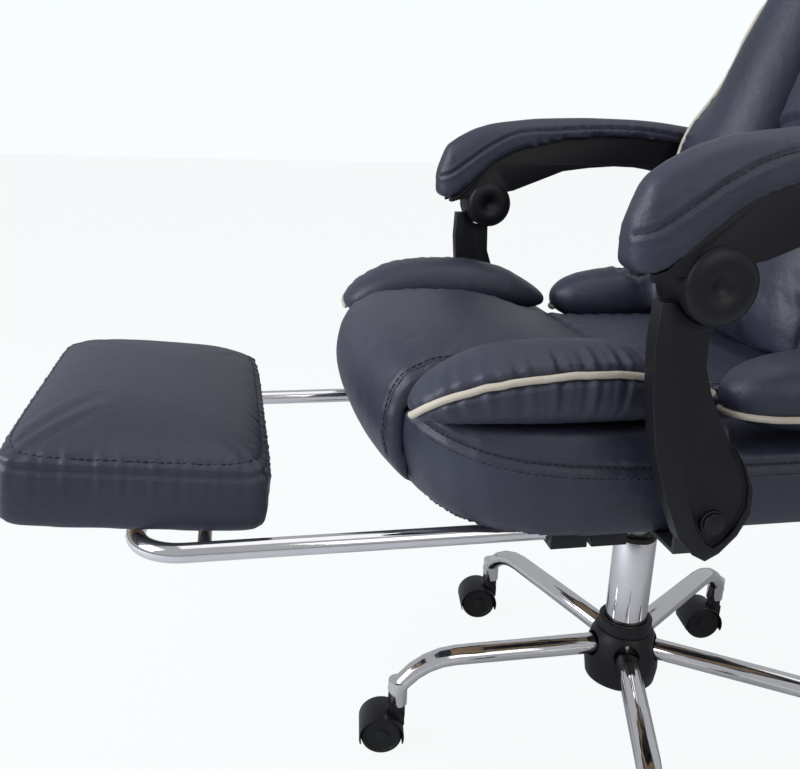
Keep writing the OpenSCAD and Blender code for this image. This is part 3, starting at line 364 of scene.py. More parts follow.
def tube_mesh(name, points, radius, sides, taper=None):
    """A round tube along points, made with a bevelled curve; taper gives radii as shares."""
    curve = bpy.data.curves.new(name, "CURVE")
    curve.dimensions = "3D"
    curve.bevel_depth = radius
    curve.bevel_resolution = sides // 4
    curve.use_fill_caps = True
    spline = curve.splines.new("POLY")
    spline.points.add(len(points) - 1)
    for i, (point, q) in enumerate(zip(spline.points, points)):
        point.co = (q[0], q[1], q[2], 1.0)
        point.radius = taper[i] if taper else 1.0
    holder = linked(name, curve)
    bpy.context.view_layer.update()
    mesh = bpy.data.meshes.new_from_object(evaluated(holder))
    bpy.data.objects.remove(holder)
    bpy.data.curves.remove(curve)
    bm = bm_of(mesh)
    bpy.data.meshes.remove(mesh)
    return mesh_of(bm, name)


def lathe(bm, profile, axis, steps):
    """Spins a profile of points about an axis through the origin."""
    ring = [bm.verts.new(q) for q in profile]
    edges = [bm.edges.new((ring[k], ring[k + 1])) for k in range(len(ring) - 1)]
    bmesh.ops.spin(bm, geom=ring + edges, axis=axis, cent=(0, 0, 0), angle=2 * math.pi, steps=steps, use_merge=True)


def post(bm, radius, depth, matrix, segments):
    """Adds a closed cylinder, or a bar with flat sides where segments are few."""
    bmesh.ops.create_cone(bm, cap_ends=True, segments=segments, radius1=radius, radius2=radius, depth=depth,
                          matrix=matrix)


def skin(obj):
    """A search tree on the surface of a piece."""
    bm = bm_of(obj.data)
    tree = BVHTree.FromBMesh(bm)
    bm.free()
    return tree


def laid(tree, points, lift=0.0, smooth=2):
    """Points moved onto a surface, a little above it."""
    out = []
    for q in points:
        spot, normal, _, _ = tree.find_nearest(Vector(q))
        out.append(spot + normal * lift)
    for _ in range(smooth):
        middle = [(out[i - 1] + 2 * out[i] + out[i + 1]) / 4 for i in range(1, len(out) - 1)]
        out = [out[0]] + middle + [out[-1]]
    return out


def shot(tree, points, directions):
    """Points where rays from outside meet a surface."""
    hits = [tree.ray_cast(Vector(q), Vector(d).normalized())[0] for q, d in zip(points, directions)]
    return [hit for hit in hits if hit is not None]


def along_line(co, points, closed=False):
    """For each vertex its distance from a line of points, and how far along the line it is."""
    pts = np.array([list(p) for p in points], float)
    if closed:
        pts = np.vstack([pts, pts[:1]])
    seg = pts[1:] - pts[:-1]
    length = np.linalg.norm(seg, axis=1)
    start = np.concatenate([[0.0], np.cumsum(length)[:-1]])
    best, where = np.full(len(co), 1e9), np.zeros(len(co))
    for a, s, ln, base in zip(pts[:-1], seg, length, start):
        near = np.nonzero(np.abs(co - (a + s / 2)).max(axis=1) < 0.12 + ln)[0]
        if len(near) == 0 or ln < 1e-9:
            continue
        t = np.clip(((co[near] - a) @ s) / (ln * ln), 0, 1)
        d = np.linalg.norm(co[near] - (a + t[:, None] * s), axis=1)
        closer = d < best[near]
        best[near[closer]], where[near[closer]] = d[closer], base + t[closer] * ln
    return best, where


def ripple(u, wave, seed):
    """Irregular folds along a seam, between -1 and 1."""
    a = np.sin(2 * np.pi * u / wave + seed)
    b = np.sin(2 * np.pi * u / (wave * 1.73) + 1.7 * seed)
    c = np.sin(2 * np.pi * u / (wave * 0.61) + 2.9 * seed)
    return 0.55 * a + 0.35 * b * a + 0.28 * c


def sew(obj, points, depth, width, gathers, wave, seed, reach=0.02, closed=False, keep=None, lips=0.0):
    """Draws the skin of a soft piece in along a seam, by a depth over a width, and gathers it beside the seam.

    gathers is the height of the folds, reach how far they run out, wave their pitch and seed their pattern. lips
    raises the skin next to the seam, and keep gives each vertex its share of all this.
    """
    co, no = coords(obj.data), normals(obj.data)
    d, u = along_line(co, points, closed)
    total = float(u.max()) or 1.0
    push = -depth * np.exp(-(d / width) ** 2) + lips * np.exp(-((d - 2.2 * width) / width) ** 2)
    ends = np.ones(len(u)) if closed else np.clip(np.minimum(u, total - u) / 0.02, 0, 1)
    push += gathers * ends * ripple(u, wave, seed) * np.exp(-(d / reach) ** 1.5) * np.clip(d / 0.004, 0, 1)
    if keep is not None:
        push *= keep(co)
    place(obj.data, co + no * push[:, None])


def relax(obj, rounds, factor=0.5):
    bm = bm_of(obj.data)
    for _ in range(rounds):
        bmesh.ops.smooth_vert(bm, verts=bm.verts, factor=factor, use_axis_x=True, use_axis_y=True, use_axis_z=True)
    bm.to_mesh(obj.data)
    bm.free()
    obj.data.update()


def bake(obj):
    """Applies the modifiers of a piece to its mesh."""
    bpy.context.view_layer.update()
    mesh = bpy.data.meshes.new_from_object(evaluated(obj))
    old = obj.data
    obj.modifiers.clear()
    obj.data = mesh
    bpy.data.meshes.remove(old)
    mesh.shade_smooth()


def finer(obj):
    m = obj.modifiers.new("Subdivision", "SUBSURF")
    m.levels = m.render_levels = 1
    bake(obj)


def blow_up(obj, hold, pressure, cap, frames=18):
    """Fills a cushion by cloth simulation. hold gives each vertex a pin weight; cap limits how far one moves."""
    scene, start = bpy.context.scene, coords(obj.data)
    group = obj.vertex_groups.new(name="held")
    weights = np.round(np.clip(hold(start), 0, 1), 1)
    for step in np.unique(weights):
        if step > 0:
            group.add([int(i) for i in np.nonzero(weights == step)[0]], float(step), "REPLACE")
    m = obj.modifiers.new("Cloth", "CLOTH")
    s = m.settings
    s.quality, s.mass = 4, 0.3
    s.tension_stiffness = s.compression_stiffness = 12.0
    s.shear_stiffness, s.bending_stiffness = 5.0, 0.4
    s.use_pressure, s.uniform_pressure_force = True, pressure
    s.effector_weights.gravity = 0.0
    s.vertex_group_mass = "held"
    m.point_cache.frame_start, m.point_cache.frame_end = 1, frames
    for f in range(1, frames + 1):
        scene.frame_set(f)
    swollen = coords(evaluated(obj).data)
    obj.modifiers.clear()
    scene.frame_set(1)
    move = swollen - start
    size = np.linalg.norm(move, axis=1)
    place(obj.data, start + move * np.minimum(1.0, cap / np.maximum(size, 1e-9))[:, None])


def cushion(node, name, voxel, shrink=0.0, inside=(), ease=3):
    """A closed leather form in the space of a CAD solid and of those inside it, ready to be filled and sewn."""
    filled = [node, *inside]
    bm = bm_of(*[frame["nodes"][each].data for each in filled])
    obj = add(name, mesh_of(bm, name), "leather", BODY_OF[node], [node])
    m = obj.modifiers.new("Remesh", "REMESH")
    m.mode, m.voxel_size, m.use_smooth_shade = "VOXEL", voxel, True
    bake(obj)
    relax(obj, ease)
    boxes = np.array([[list(corner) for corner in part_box(each)] for each in filled])
    low, high = boxes[:, 0].min(axis=0) + shrink, boxes[:, 1].max(axis=0) - shrink
    co = coords(obj.data)
    least, most = co.min(axis=0), co.max(axis=0)
    place(obj.data, low + (co - least) * (high - low) / (most - least))
    return obj


def twin(obj, look, name, node):
    """The mirror image of a piece, for the other side of the chair."""
    bm = bm_of(obj.data)
    bmesh.ops.scale(bm, vec=(-1, 1, 1), verts=bm.verts)
    bmesh.ops.reverse_faces(bm, faces=bm.faces)
    mesh = bpy.data.meshes.new(name)
    bm.to_mesh(mesh)
    bm.free()
    mesh.shade_smooth()
    return add(name, mesh, look, BODY_OF[node], [node])


def stitching(name, rows, body, pitch):
    """Rows of single thread stitches, each a small rounded bar lying along its row."""
    bm = bmesh.new()
    for points in rows:
        span = sum((points[i + 1] - points[i]).length for i in range(len(points) - 1))
        n = max(2, int(span / pitch))
        spots = line(points, 2 * n + 1)
        for a, b in zip(spots[0:-2:2], spots[1::2]):
            way = b - a
            if way.length < MERGE:
                continue
            turn = way.to_track_quat("Z", "X").to_matrix().to_4x4()
            post(bm, STITCH_R, STITCH_L, Matrix.Translation((a + b) / 2) @ turn, 6)
    return add(name, mesh_of(bm, name), "thread", body)


def table_at(table, x):
    """The value of a table of places and values, at a place between its rows."""
    xs, ys = zip(*table)
    return float(np.interp(x, xs, ys))


# ---------------- properties

def number(name, description, low, high, default, unit="NONE"):
    return bpy.props.FloatProperty(name=name, description=description, min=low, max=high, default=default, unit=unit)


def colour(name, description, default):
    return bpy.props.FloatVectorProperty(name=name, description=description, subtype="COLOR", size=3, min=0, max=1,
                                         default=default)


class ChairLooks(bpy.types.PropertyGroup):
    """Colours and sizes of the chair's finish"""
    leather_colour: colour("Leather", "Colour of the leather", (0.034, 0.036, 0.060))
    leather_roughness: number("Leather roughness", "Roughness of the leather's sheen", 0.1, 0.9, 0.43)
    piping_colour: colour("Piping", "Colour of the piping", (0.66, 0.59, 0.49))
    plastic_colour: colour("Plastic", "Colour of the moulded plastic", (0.0075, 0.007, 0.0095))
    piping_radius: number("Piping radius", "Radius of the piping cord", 0.001, 0.006, 0.0031, "LENGTH")
    stitch: number("Stitch pitch", "Distance from one stitch to the next", 0.003, 0.01, 0.0062, "LENGTH")


class ChairStage(bpy.types.PropertyGroup):
    """Camera and light"""
    lens: number("Lens", "Focal length of the camera", 15, 100, 38.923)
    key_power: number("Key light", "Power of the window light", 0, 400, 68.0, "POWER")
    fill_power: number("Fill light", "Power of the fill light", 0, 200, 12.0, "POWER")


# ---------------- shared shapes of the chair, in metres

STITCH_R, STITCH_L = 0.00042, 0.0045

# Footrest: level of the rails, place of the cross bar, the pad's dip to the rear, and the frame's tube.
RAIL_Z, BAR_Y, PAD_PITCH = 0.3855, 0.553, math.radians(5.5)
TUBE_R, RAIL_X, TUBE_BEND = 0.0085, 0.203, 0.042
# The pad above its cross bar: half its width and depth, its underside, its top seam and the height of its crown.
PAD_HALF, PAD_FLOOR, PAD_SEAM, PAD_CROWN = (0.186, 0.111), 0.0095, 0.0645, 0.009

# Seat: the centre panel's side seams, the crease across it, and the height below which its cushions are held.
SEAM_X, TUCK_Y, SEAT_REST = 0.150, -0.082, 0.498
# The seam along the lower body's side, as Y and Z from its front, and how far under it the stitches run.
SEAT_SIDE = [(-.341, .506), (-.335, .502), (-.322, .493), (-.300, .482), (-.262, .473), (-.215, .467), (-.128, .462),
             (-.02, .460), (.08, .460), (.150, .460)]
SEAT_STITCH_DROP = 0.009
# Where rays start that find the centre panel's side seam, as Y and Z, and the point that the front ones aim at.
SEAT_FAN = [(0.10, 0.60), (-0.02, 0.62), (-0.12, 0.62), (-0.20, 0.62), (-0.26, 0.62), (-0.31, 0.60), (-0.36, 0.56),
            (-0.41, 0.51), (-0.43, 0.46), (-0.42, 0.41)]
SEAT_HEART = (-0.235, 0.478)
PILLOW_PIPE = [(.206, -.318, .500), (.226, -.3165, .514), (.243, -.312, .527), (.254, -.298, .534), (.260, -.275, .540),
               (.262, -.250, .544), (.264, -.220, .548), (.264, -.185, .550), (.264, -.150, .549), (.262, -.115, .546),
               (.258, -.088, .542), (.248, -.069, .534), (.232, -.062, .522)]

# Backrest: its lean, the foot of its face's plane, its length, its padding and half its width.
LEAN, BACK_Y, BACK_Z, BACK_L, BACK_PAD = math.radians(20.0), 0.052, 0.502, 0.700, 0.084
BACK_HALF = 0.254
BACK_WIDTHS = [(0, .9), (.1, .97), (.3, 1), (.5, .97), (.7, .86), (.88, .78), (.96, .7), (1, .58)]
BACK_TUCKS = (0.36 * BACK_L, 0.66 * BACK_L)
BACK_SEAM_X = 0.098
# The wing, by shares of the backrest's height: how full it is, and how far behind the face's plane its piping runs.
WING_SWELL = [(0, .7), (.08, .9), (.2, 1.02), (.45, 1.06), (.7, .98), (.9, .86), (1, .46)]
PIPE_DEPTH = [(0, .02), (.1, .010), (.2, .002), (.27, -.001), (.31, -.006), (.35, -.005), (.39, .004), (.44, .012),
              (.55, .015), (.8, .020), (1, .034)]
# Its inner edge, the share of its half width where the piping runs, and the power of its rounding.
WING_INNER, PIPE_SHARE, WING_POWER = 0.1102, 0.92, 2.6
WING_FOOT = 0.08  # the height above which the wing's face is moved
WING_JOINT = [(0.150, 0.060, 0.560), (0.19, 0.040, 0.575), (0.235, 0.050, 0.585), (0.262, 0.085, 0.580)]
HIP_PIPE = [(.205, -.060, .488), (.228, -.056, .489), (.246, -.044, .491), (.255, -.022, .494), (.258, .01, .498),
            (.258, .05, .502), (.256, .09, .507), (.250, .118, .512)]
# The piping over the top of the backrest: across, and up along the lean.
TOP_PIPE = [(0.1525, 0.6985), (0.13, 0.7015), (0.09, 0.7025), (0.045, 0.703), (0, 0.703)]

# Armrests: the plane and axis of the knuckle, the discs' dish (radius and height, mm), and the pad's seam (Y and Z).
ARM_X, KNUCKLE_Y, KNUCKLE_Z, KNUCKLE_HALF = 0.290, -0.126, 0.62496, 0.0240
KNUCKLE_DISH = [(0, -3.6), (4.0, -3.3), (7.0, -1.4), (9.6, 0.2), (13.5, 1.3), (18.3, 1.6), (22.5, 1.0), (26.0, -0.4),
                (28.2, -2.4), (29.2, -5.0), (29.2, -9.0)]
ARM_SEAM = [(-.196, .659), (-.179, .664), (-.156, .681), (-.126, .702), (-.089, .718), (-.04, .722), (.02, .726),
            (.08, .725), (.14, .717), (.195, .702)]

# Casters: their heading, and the half section of a wheel (radius and place along the axle, mm).
CASTER_HEADING = math.radians(262)
WHEEL = [(0.0, 3.2), (8, 3.2), (20, 3.4), (22.5, 4.0), (24.4, 5.5), (25.0, 8.0), (25.0, 14.5), (24.3, 17.4),
         (22.6, 19.2), (20.6, 19.8), (19.4, 19.2), (18.6, 17.6), (14, 16.6), (8.5, 16.8), (7.6, 18.6), (5.5, 19.4),
         (0.0, 19.6)]


def back_half(t):
    return table_at(BACK_WIDTHS, t) * BACK_HALF


def back_point(x, depth, up):
    """A point of the backrest: x across, depth to the rear of its face, up along its lean."""
    c, s = math.cos(LEAN), math.sin(LEAN)
    return Vector((x, BACK_Y + depth * c + up * s, BACK_Z - depth * s + up * c))


def back_depth(co):
    return (co[:, 1] - BACK_Y) * math.cos(LEAN) - (co[:, 2] - BACK_Z) * math.sin(LEAN)


def back_height(co):
    return (co[:, 1] - BACK_Y) * math.sin(LEAN) + (co[:, 2] - BACK_Z) * math.cos(LEAN)


def wing_front(t, share):
    """Depth of the solid wing's face at a share of its half width, measured from the plane of the backrest's face."""
    share = min(max(share, 0.0), PIPE_SHARE)
    full = BACK_PAD * (1 + 0.35 * share ** 2) * (1 - share ** WING_POWER) ** (1 / WING_POWER)
    return BACK_PAD - table_at(WING_SWELL, t) * full


def wing_wanted(t, share):
    """Depth that the face gets: from the solid's near the middle to the piping's line at the outer edge."""
    high = min(max((t * BACK_L - WING_FOOT) / 0.06, 0.0), 1.0)
    side = min(max((share - 0.15) / 0.6, 0.0), 1.0)
    blend = high * side * side * (3 - 2 * side)
    return wing_front(t, share) * (1 - blend) + table_at(PIPE_DEPTH, t) * blend


def wing_edge(t):
    """Where the piping runs on the wing at a share of its height: across, and to the rear of the face's plane."""
    across = WING_INNER + (back_half(t) - WING_INNER) / 2 * (1 + PIPE_SHARE) + 0.001
    return across, wing_wanted(t, PIPE_SHARE) - 0.001


def wing_flare(q, depth, height):
    """A point of the wing, moved forward with the face."""
    t = min(max(height / BACK_L, 0.0), 1.0)
    half = (back_half(t) - WING_INNER) / 2
    share = (q[0] - WING_INNER - half) / half
    if height < WING_FOOT or share < 0.15 or depth > BACK_PAD:
        return q
    k = (BACK_PAD - wing_wanted(t, share)) / (BACK_PAD - wing_front(t, share))
    return back_point(q[0], BACK_PAD - (BACK_PAD - depth) * k, height)


def pillow_reach(co):
    """Points of a seat pillow, with its front tip drawn forward and down."""
    tip = np.clip((-0.245 - co[:, 1]) / 0.07, 0, 1)
    return np.stack((co[:, 0], co[:, 1] - 0.014 * tip, co[:, 2] - 0.008 * tip ** 2), axis=1)


def pad_point(x, y, z):
    """A point of the footrest pad, in its own level frame about the cross bar."""
    c, s = math.cos(-PAD_PITCH), math.sin(-PAD_PITCH)
    return Vector((x, -BAR_Y + y * c - z * s, RAIL_Z + y * s + z * c))


def pad_ring(inset, height, n=96, p=9.0):
    """A closed line of points round the pad, at an inset from its sides: a rectangle with rounded corners."""
    out = []
    for k in range(n):
        a = 2 * math.pi * (k + 0.5) / n
        x, y = [(half - inset) * math.copysign(abs(w) ** (2 / p), w)
                for half, w in zip(PAD_HALF, (math.cos(a), math.sin(a)))]
        out.append(pad_point(x, y, height))
    return out + out[:1]


# ---------------- operators

class CHAIR_OT_base(bpy.types.Operator):
    """Dresses the five chromed legs, the hub, its cover and the gas lift"""
    bl_idname = "chair.base"
    bl_label = "Star base and gas lift"

    def execute(self, context):
        for i in range(1, 6):
            finished("base_leg_%d" % i, "chrome", 0.0012, angle=50)
        finished("hub_cover", "plastic", 0.0015)
        finished("base_hub", "steel", 0.0008)
        finished("column_tube", "chrome", 0.0006)
        finished("column_bush", "plastic", 0.0012)
        for node in ("retaining_clip", "piston_rod", "thrust_bearing", "lift_cylinder", "release_button"):
            finished(node, "steel", 0.0004)
        return {"FINISHED"}


class CHAIR_OT_casters(bpy.types.Operator):
    """Dresses the hooded twin-wheel casters with lathed wheels"""
    bl_idname = "chair.casters"
    bl_label = "Casters"

    def execute(self, context):
        axle = Vector((-math.sin(CASTER_HEADING), math.cos(CASTER_HEADING), 0))
        turn = axle.to_track_quat("Z", "X").to_matrix().to_4x4()
        for i in range(1, 6):
            finished("caster_hood_%d" % i, "plastic", 0.0014, angle=40)
            low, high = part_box("caster_wheels_%d" % i)
            bm = bmesh.new()
            for side in (-1, 1):
                lathe(bm, [(r / 1000, 0, side * z / 1000) for r, z in WHEEL], (0, 0, 1), 48)
            post(bm, 0.004, 0.008, Matrix(), 24)
            bmesh.ops.transform(bm, matrix=Matrix.Translation((low + high) / 2) @ turn, verts=bm.verts)
            add("caster_wheels_turned_%d" % i, mesh_of(bm, "wheels", 40), "tread", "wheels_%d" % i,
                ["caster_wheels_%d" % i])
        return {"FINISHED"}


class CHAIR_OT_mechanism(bpy.types.Operator):
    """Dresses the tilt mechanism, its levers and the steel brackets"""
    bl_idname = "chair.mechanism"
    bl_label = "Tilt mechanism and levers"

    def execute(self, context):
        for node in ("tilt_housing", "seat_plate", "seat_brackets", "back_brackets", "height_lever", "recline_lever"):
            finished(node, "powder", 0.0008, angle=45)
        for node in ("tilt_pin", "tilt_spring"):
            finished(node, "steel", 0.0005, angle=50)
        finished("tension_knob", "plastic", 0.0016)
        finished("rail_guides", "plastic", 0.0015)
        boards = [finished(node, "ply", 0.0006) for node in ("seat_board", "footrest_board", "back_board")]
        # The seat board is set in a little, so that its edge stays behind the leather of the lower body.
        co = coords(boards[0].data)
        middle = (co.min(axis=0) + co.max(axis=0)) / 2
        co[:, :2] = middle[:2] + (co[:, :2] - middle[:2]) * 0.955
        place(boards[0].data, co)
        bm = bmesh.new()
        for x in (-0.074, 0.074):
            for y in (-0.102, 0.102):
                post(bm, 0.0066, 0.0048, Matrix.Translation((x, y, 0.3925)), 6)
                post(bm, 0.0088, 0.0014, Matrix.Translation((x, y, 0.3945)), 24)
        soften(bm, 0.0006)
        add("seat_plate_screws", mesh_of(bm, "screws", 35), "steel", "seat")
        return {"FINISHED"}


class CHAIR_OT_footrest(bpy.types.Operator):
    """Builds the chromed footrest frame and the sewn footrest pad"""
    bl_idname = "chair.footrest"
    bl_label = "Footrest"

    def execute(self, context):
        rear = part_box("footrest_tube")[1].y
        path = [(RAIL_X, rear - (rear + BAR_Y - TUBE_BEND) * k / 6, RAIL_Z) for k in range(6)]
        for k in range(13):
            a = math.radians(90 * k / 12)
            path.append((RAIL_X - TUBE_BEND + TUBE_BEND * math.cos(a), -BAR_Y + TUBE_BEND - TUBE_BEND * math.sin(a),
                         RAIL_Z))
        path += [(-x, y, z) for x, y, z in reversed(path)]
        add("footrest_frame_tube", tube_mesh("frame", path, TUBE_R, 32), "chrome", "footrest_frame", ["footrest_tube"])
        finished("footrest_rod", "chrome", 0.0004)
        finished("footrest_saddles", "plastic", 0.0012)

        pad = cushion("footrest_cushion", "footrest_pad_leather", 0.0048, shrink=0.0005, ease=1)
        base = np.array(pad_point(0, 0, PAD_FLOOR))
        up = np.array((pad_point(0, 0, 1) - pad_point(0, 0, 0)).normalized())

        def level(co):
            return (co - base) @ up

        def held(co):
            return np.where(level(co) < 0.012, 1.0, np.where(np.abs(level(co) - 0.056) < 0.0035, 0.75, 0.0))

        blow_up(pad, held, pressure=4.5, cap=0.013)
        finer(pad)
        co = coords(pad.data)
        across, along = np.abs(co[:, 0]) / PAD_HALF[0], np.abs(co[:, 1] + BAR_Y) / PAD_HALF[1]
        flat = np.clip(1 - across ** 8, 0, 1) * np.clip(1 - along ** 8, 0, 1)
        dome = PAD_CROWN * flat * np.clip((level(co) - 0.045) / 0.012, 0, 1)
        place(pad.data, co + dome[:, None] * up)
        shell = skin(pad)
        seam = laid(shell, pad_ring(0, PAD_SEAM), 0.0, 1)
        top = laid(shell, pad_ring(0.0075, PAD_SEAM + 0.008), 0.0, 1)
        sew(pad, seam, 0.0022, 0.0026, gathers=0.0011, reach=0.016, wave=0.014, seed=2.0, closed=True, lips=0.0006)
        sew(pad, top, 0.0007, 0.0018, gathers=0.0005, reach=0.012, wave=0.021, seed=5.0, closed=True)
        for k, (x, y) in enumerate(((1, 1), (1, -1), (-1, 1), (-1, -1))):
            edge = [pad_point(0.182 * x, 0.107 * y, 0.06 - 0.006 * j) for j in range(9)]
            sew(pad, laid(shell, edge, 0.0, 0), 0.0016, 0.0024, gathers=0.0009, reach=0.016, wave=0.013, seed=1.0 + k)
        stitching("footrest_stitches", [laid(skin(pad), top, 0.0003)], "footrest_pad", context.scene.chair_looks.stitch)
        return {"FINISHED"}


class CHAIR_OT_seat(bpy.types.Operator):
    """Builds the seat: lower body, centre panel, side pillows, piping and stitching"""
    bl_idname = "chair.seat"
    bl_label = "Seat"

    def execute(self, context):
        s = context.scene.chair_looks
        self.lower_body(s.stitch)
        self.centre_panel(s.stitch)
        self.pillows(s.piping_radius)
        return {"FINISHED"}

    def lower_body(self, pitch):
        body = cushion("seat_boxing", "seat_lower_body", 0.006, inside=["seat_board"], ease=2)
        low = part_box("seat_board")[0].z

        def held(co):
            return np.where(co[:, 2] < low + 0.004, 1.0, np.where(co[:, 2] > 0.488, 0.9, 0.15))

        blow_up(body, held, pressure=2.2, cap=0.006, frames=14)
        finer(body)
        # The underside is pressed flat: just under the board's edge, and up into the leather where the board shows.
        co = coords(body.data)
        under = (co[:, 2] < low + 0.004) & (normals(body.data)[:, 2] < -0.9)
        board = (np.abs(co[:, 0]) < 0.216) & (np.abs(co[:, 1] + 0.043) < 0.172)
        co[under, 2] = np.where(board[under], low + 0.0025, low - 0.0008)
        place(body.data, co)
        shell = skin(body)
        rows = []
        for _, side in SIDES:
            upper, lower = [
                shot(shell, line([(side * 0.4, y, z - drop) for y, z in SEAT_SIDE], 90), [(-side, 0, 0)] * 90)
                for drop in (0, SEAT_STITCH_DROP)]
            sew(body, upper, 0.0022, 0.0028, gathers=0.0006, reach=0.012, wave=0.026, seed=1.0 + side, lips=0.0008)
            for row, out in ((lower, 0.0004), (upper, -0.0008)):
                rows.append([q + Vector((side * out, 0, 0)) for q in row])
        stitching("seat_side_stitches", rows, "seat", pitch)

    def centre_panel(self, pitch):
        centre = cushion("seat_centre", "seat_centre_panel", 0.0052, shrink=0.001)

        def held(co):
            side = np.abs(np.abs(co[:, 0]) - SEAM_X)
            front = normals(centre.data)[:, 1] < -0.2
            tuck = np.clip(1.2 - np.abs(co[:, 1] - TUCK_Y) / 0.007, 0, 0.8)
            return np.maximum(np.where(co[:, 2] < SEAT_REST, np.where(front, 0.35, 1.0), 0.0),
                              np.maximum(tuck, np.clip(1.0 - side / 0.006, 0, 0.9)))

        blow_up(centre, held, pressure=4.0, cap=0.012)
        finer(centre)
        shell = skin(centre)
        rows = []
        for _, side in SIDES:
            fan = line([(side * SEAM_X, y, z) for y, z in SEAT_FAN], 110)
            heart = Vector((side * SEAM_X, *SEAT_HEART))
            seam = shot(shell, fan, [heart - q if q.y < -0.2 else DOWN for q in fan])
            sew(centre, seam, 0.0022, 0.0022, gathers=0.0010, reach=0.014, wave=0.022, seed=3.0 + side, lips=0.0006)
            rows += [[q + Vector((side * shift, 0, 0)) for q in seam] for shift in (-0.0026, 0.0030)]
        across = [Vector((x, TUCK_Y, 0.62)) for x in np.linspace(-SEAM_X, SEAM_X, 60)]
        sew(centre, shot(shell, across, [DOWN] * 60), 0.0065, 0.0060, gathers=0.0016, wave=0.03, seed=1.7,
            lips=0.0012)
        shell = skin(centre)
        stitching("seat_centre_stitches", [laid(shell, row, 0.0002) for row in rows], "seat", pitch)

    def pillows(self, radius):
        pillow = cushion("side_pillow_left", "seat_side_pillow_left", 0.0045, shrink=0.0025, ease=5)
        place(pillow.data, pillow_reach(coords(pillow.data)))
        way = laid(skin(pillow), line(pillow_reach(np.array(PILLOW_PIPE)), 80), 0.0, 1)

        def held(co):
            return np.maximum(np.where(co[:, 2] < SEAT_REST + 0.0005, 1.0, 0.0),
                              np.clip(1.4 - along_line(co, way)[0] / 0.006, 0, 1))

        def gathered(co):
            along = np.interp(co[:, 1], [-.32, -.30, -.20, -.09, -.066], [.4, 1, 1, .6, .3])
            return np.where(co[:, 2] < SEAT_REST + 0.001, 0.2, 1.0) * along

        blow_up(pillow, held, pressure=5.0, cap=0.010)
        finer(pillow)
        sew(pillow, way, 0.0040, 0.0042, gathers=0.0024, reach=0.024, wave=0.0175, seed=2.3, lips=0.0010, keep=gathered)
        relax(pillow, 1, 0.3)
        cord_line = laid(skin(pillow), way, radius * 0.72, 3)
        last = len(cord_line) - 1
        ends = [0.55 + 0.45 * min(1.0, min(k, last - k) / 2.0) for k in range(last + 1)]
        cord = tube_mesh("piping", cord_line, radius, 16, ends)
        left = add("seat_piping_cord_left", cord, "piping", "seat", ["seat_piping_left"])
        twin(left, "piping", "seat_piping_cord_right", "seat_piping_right")
        other = twin(pillow, "leather", "seat_side_pillow_right", "side_pillow_right")


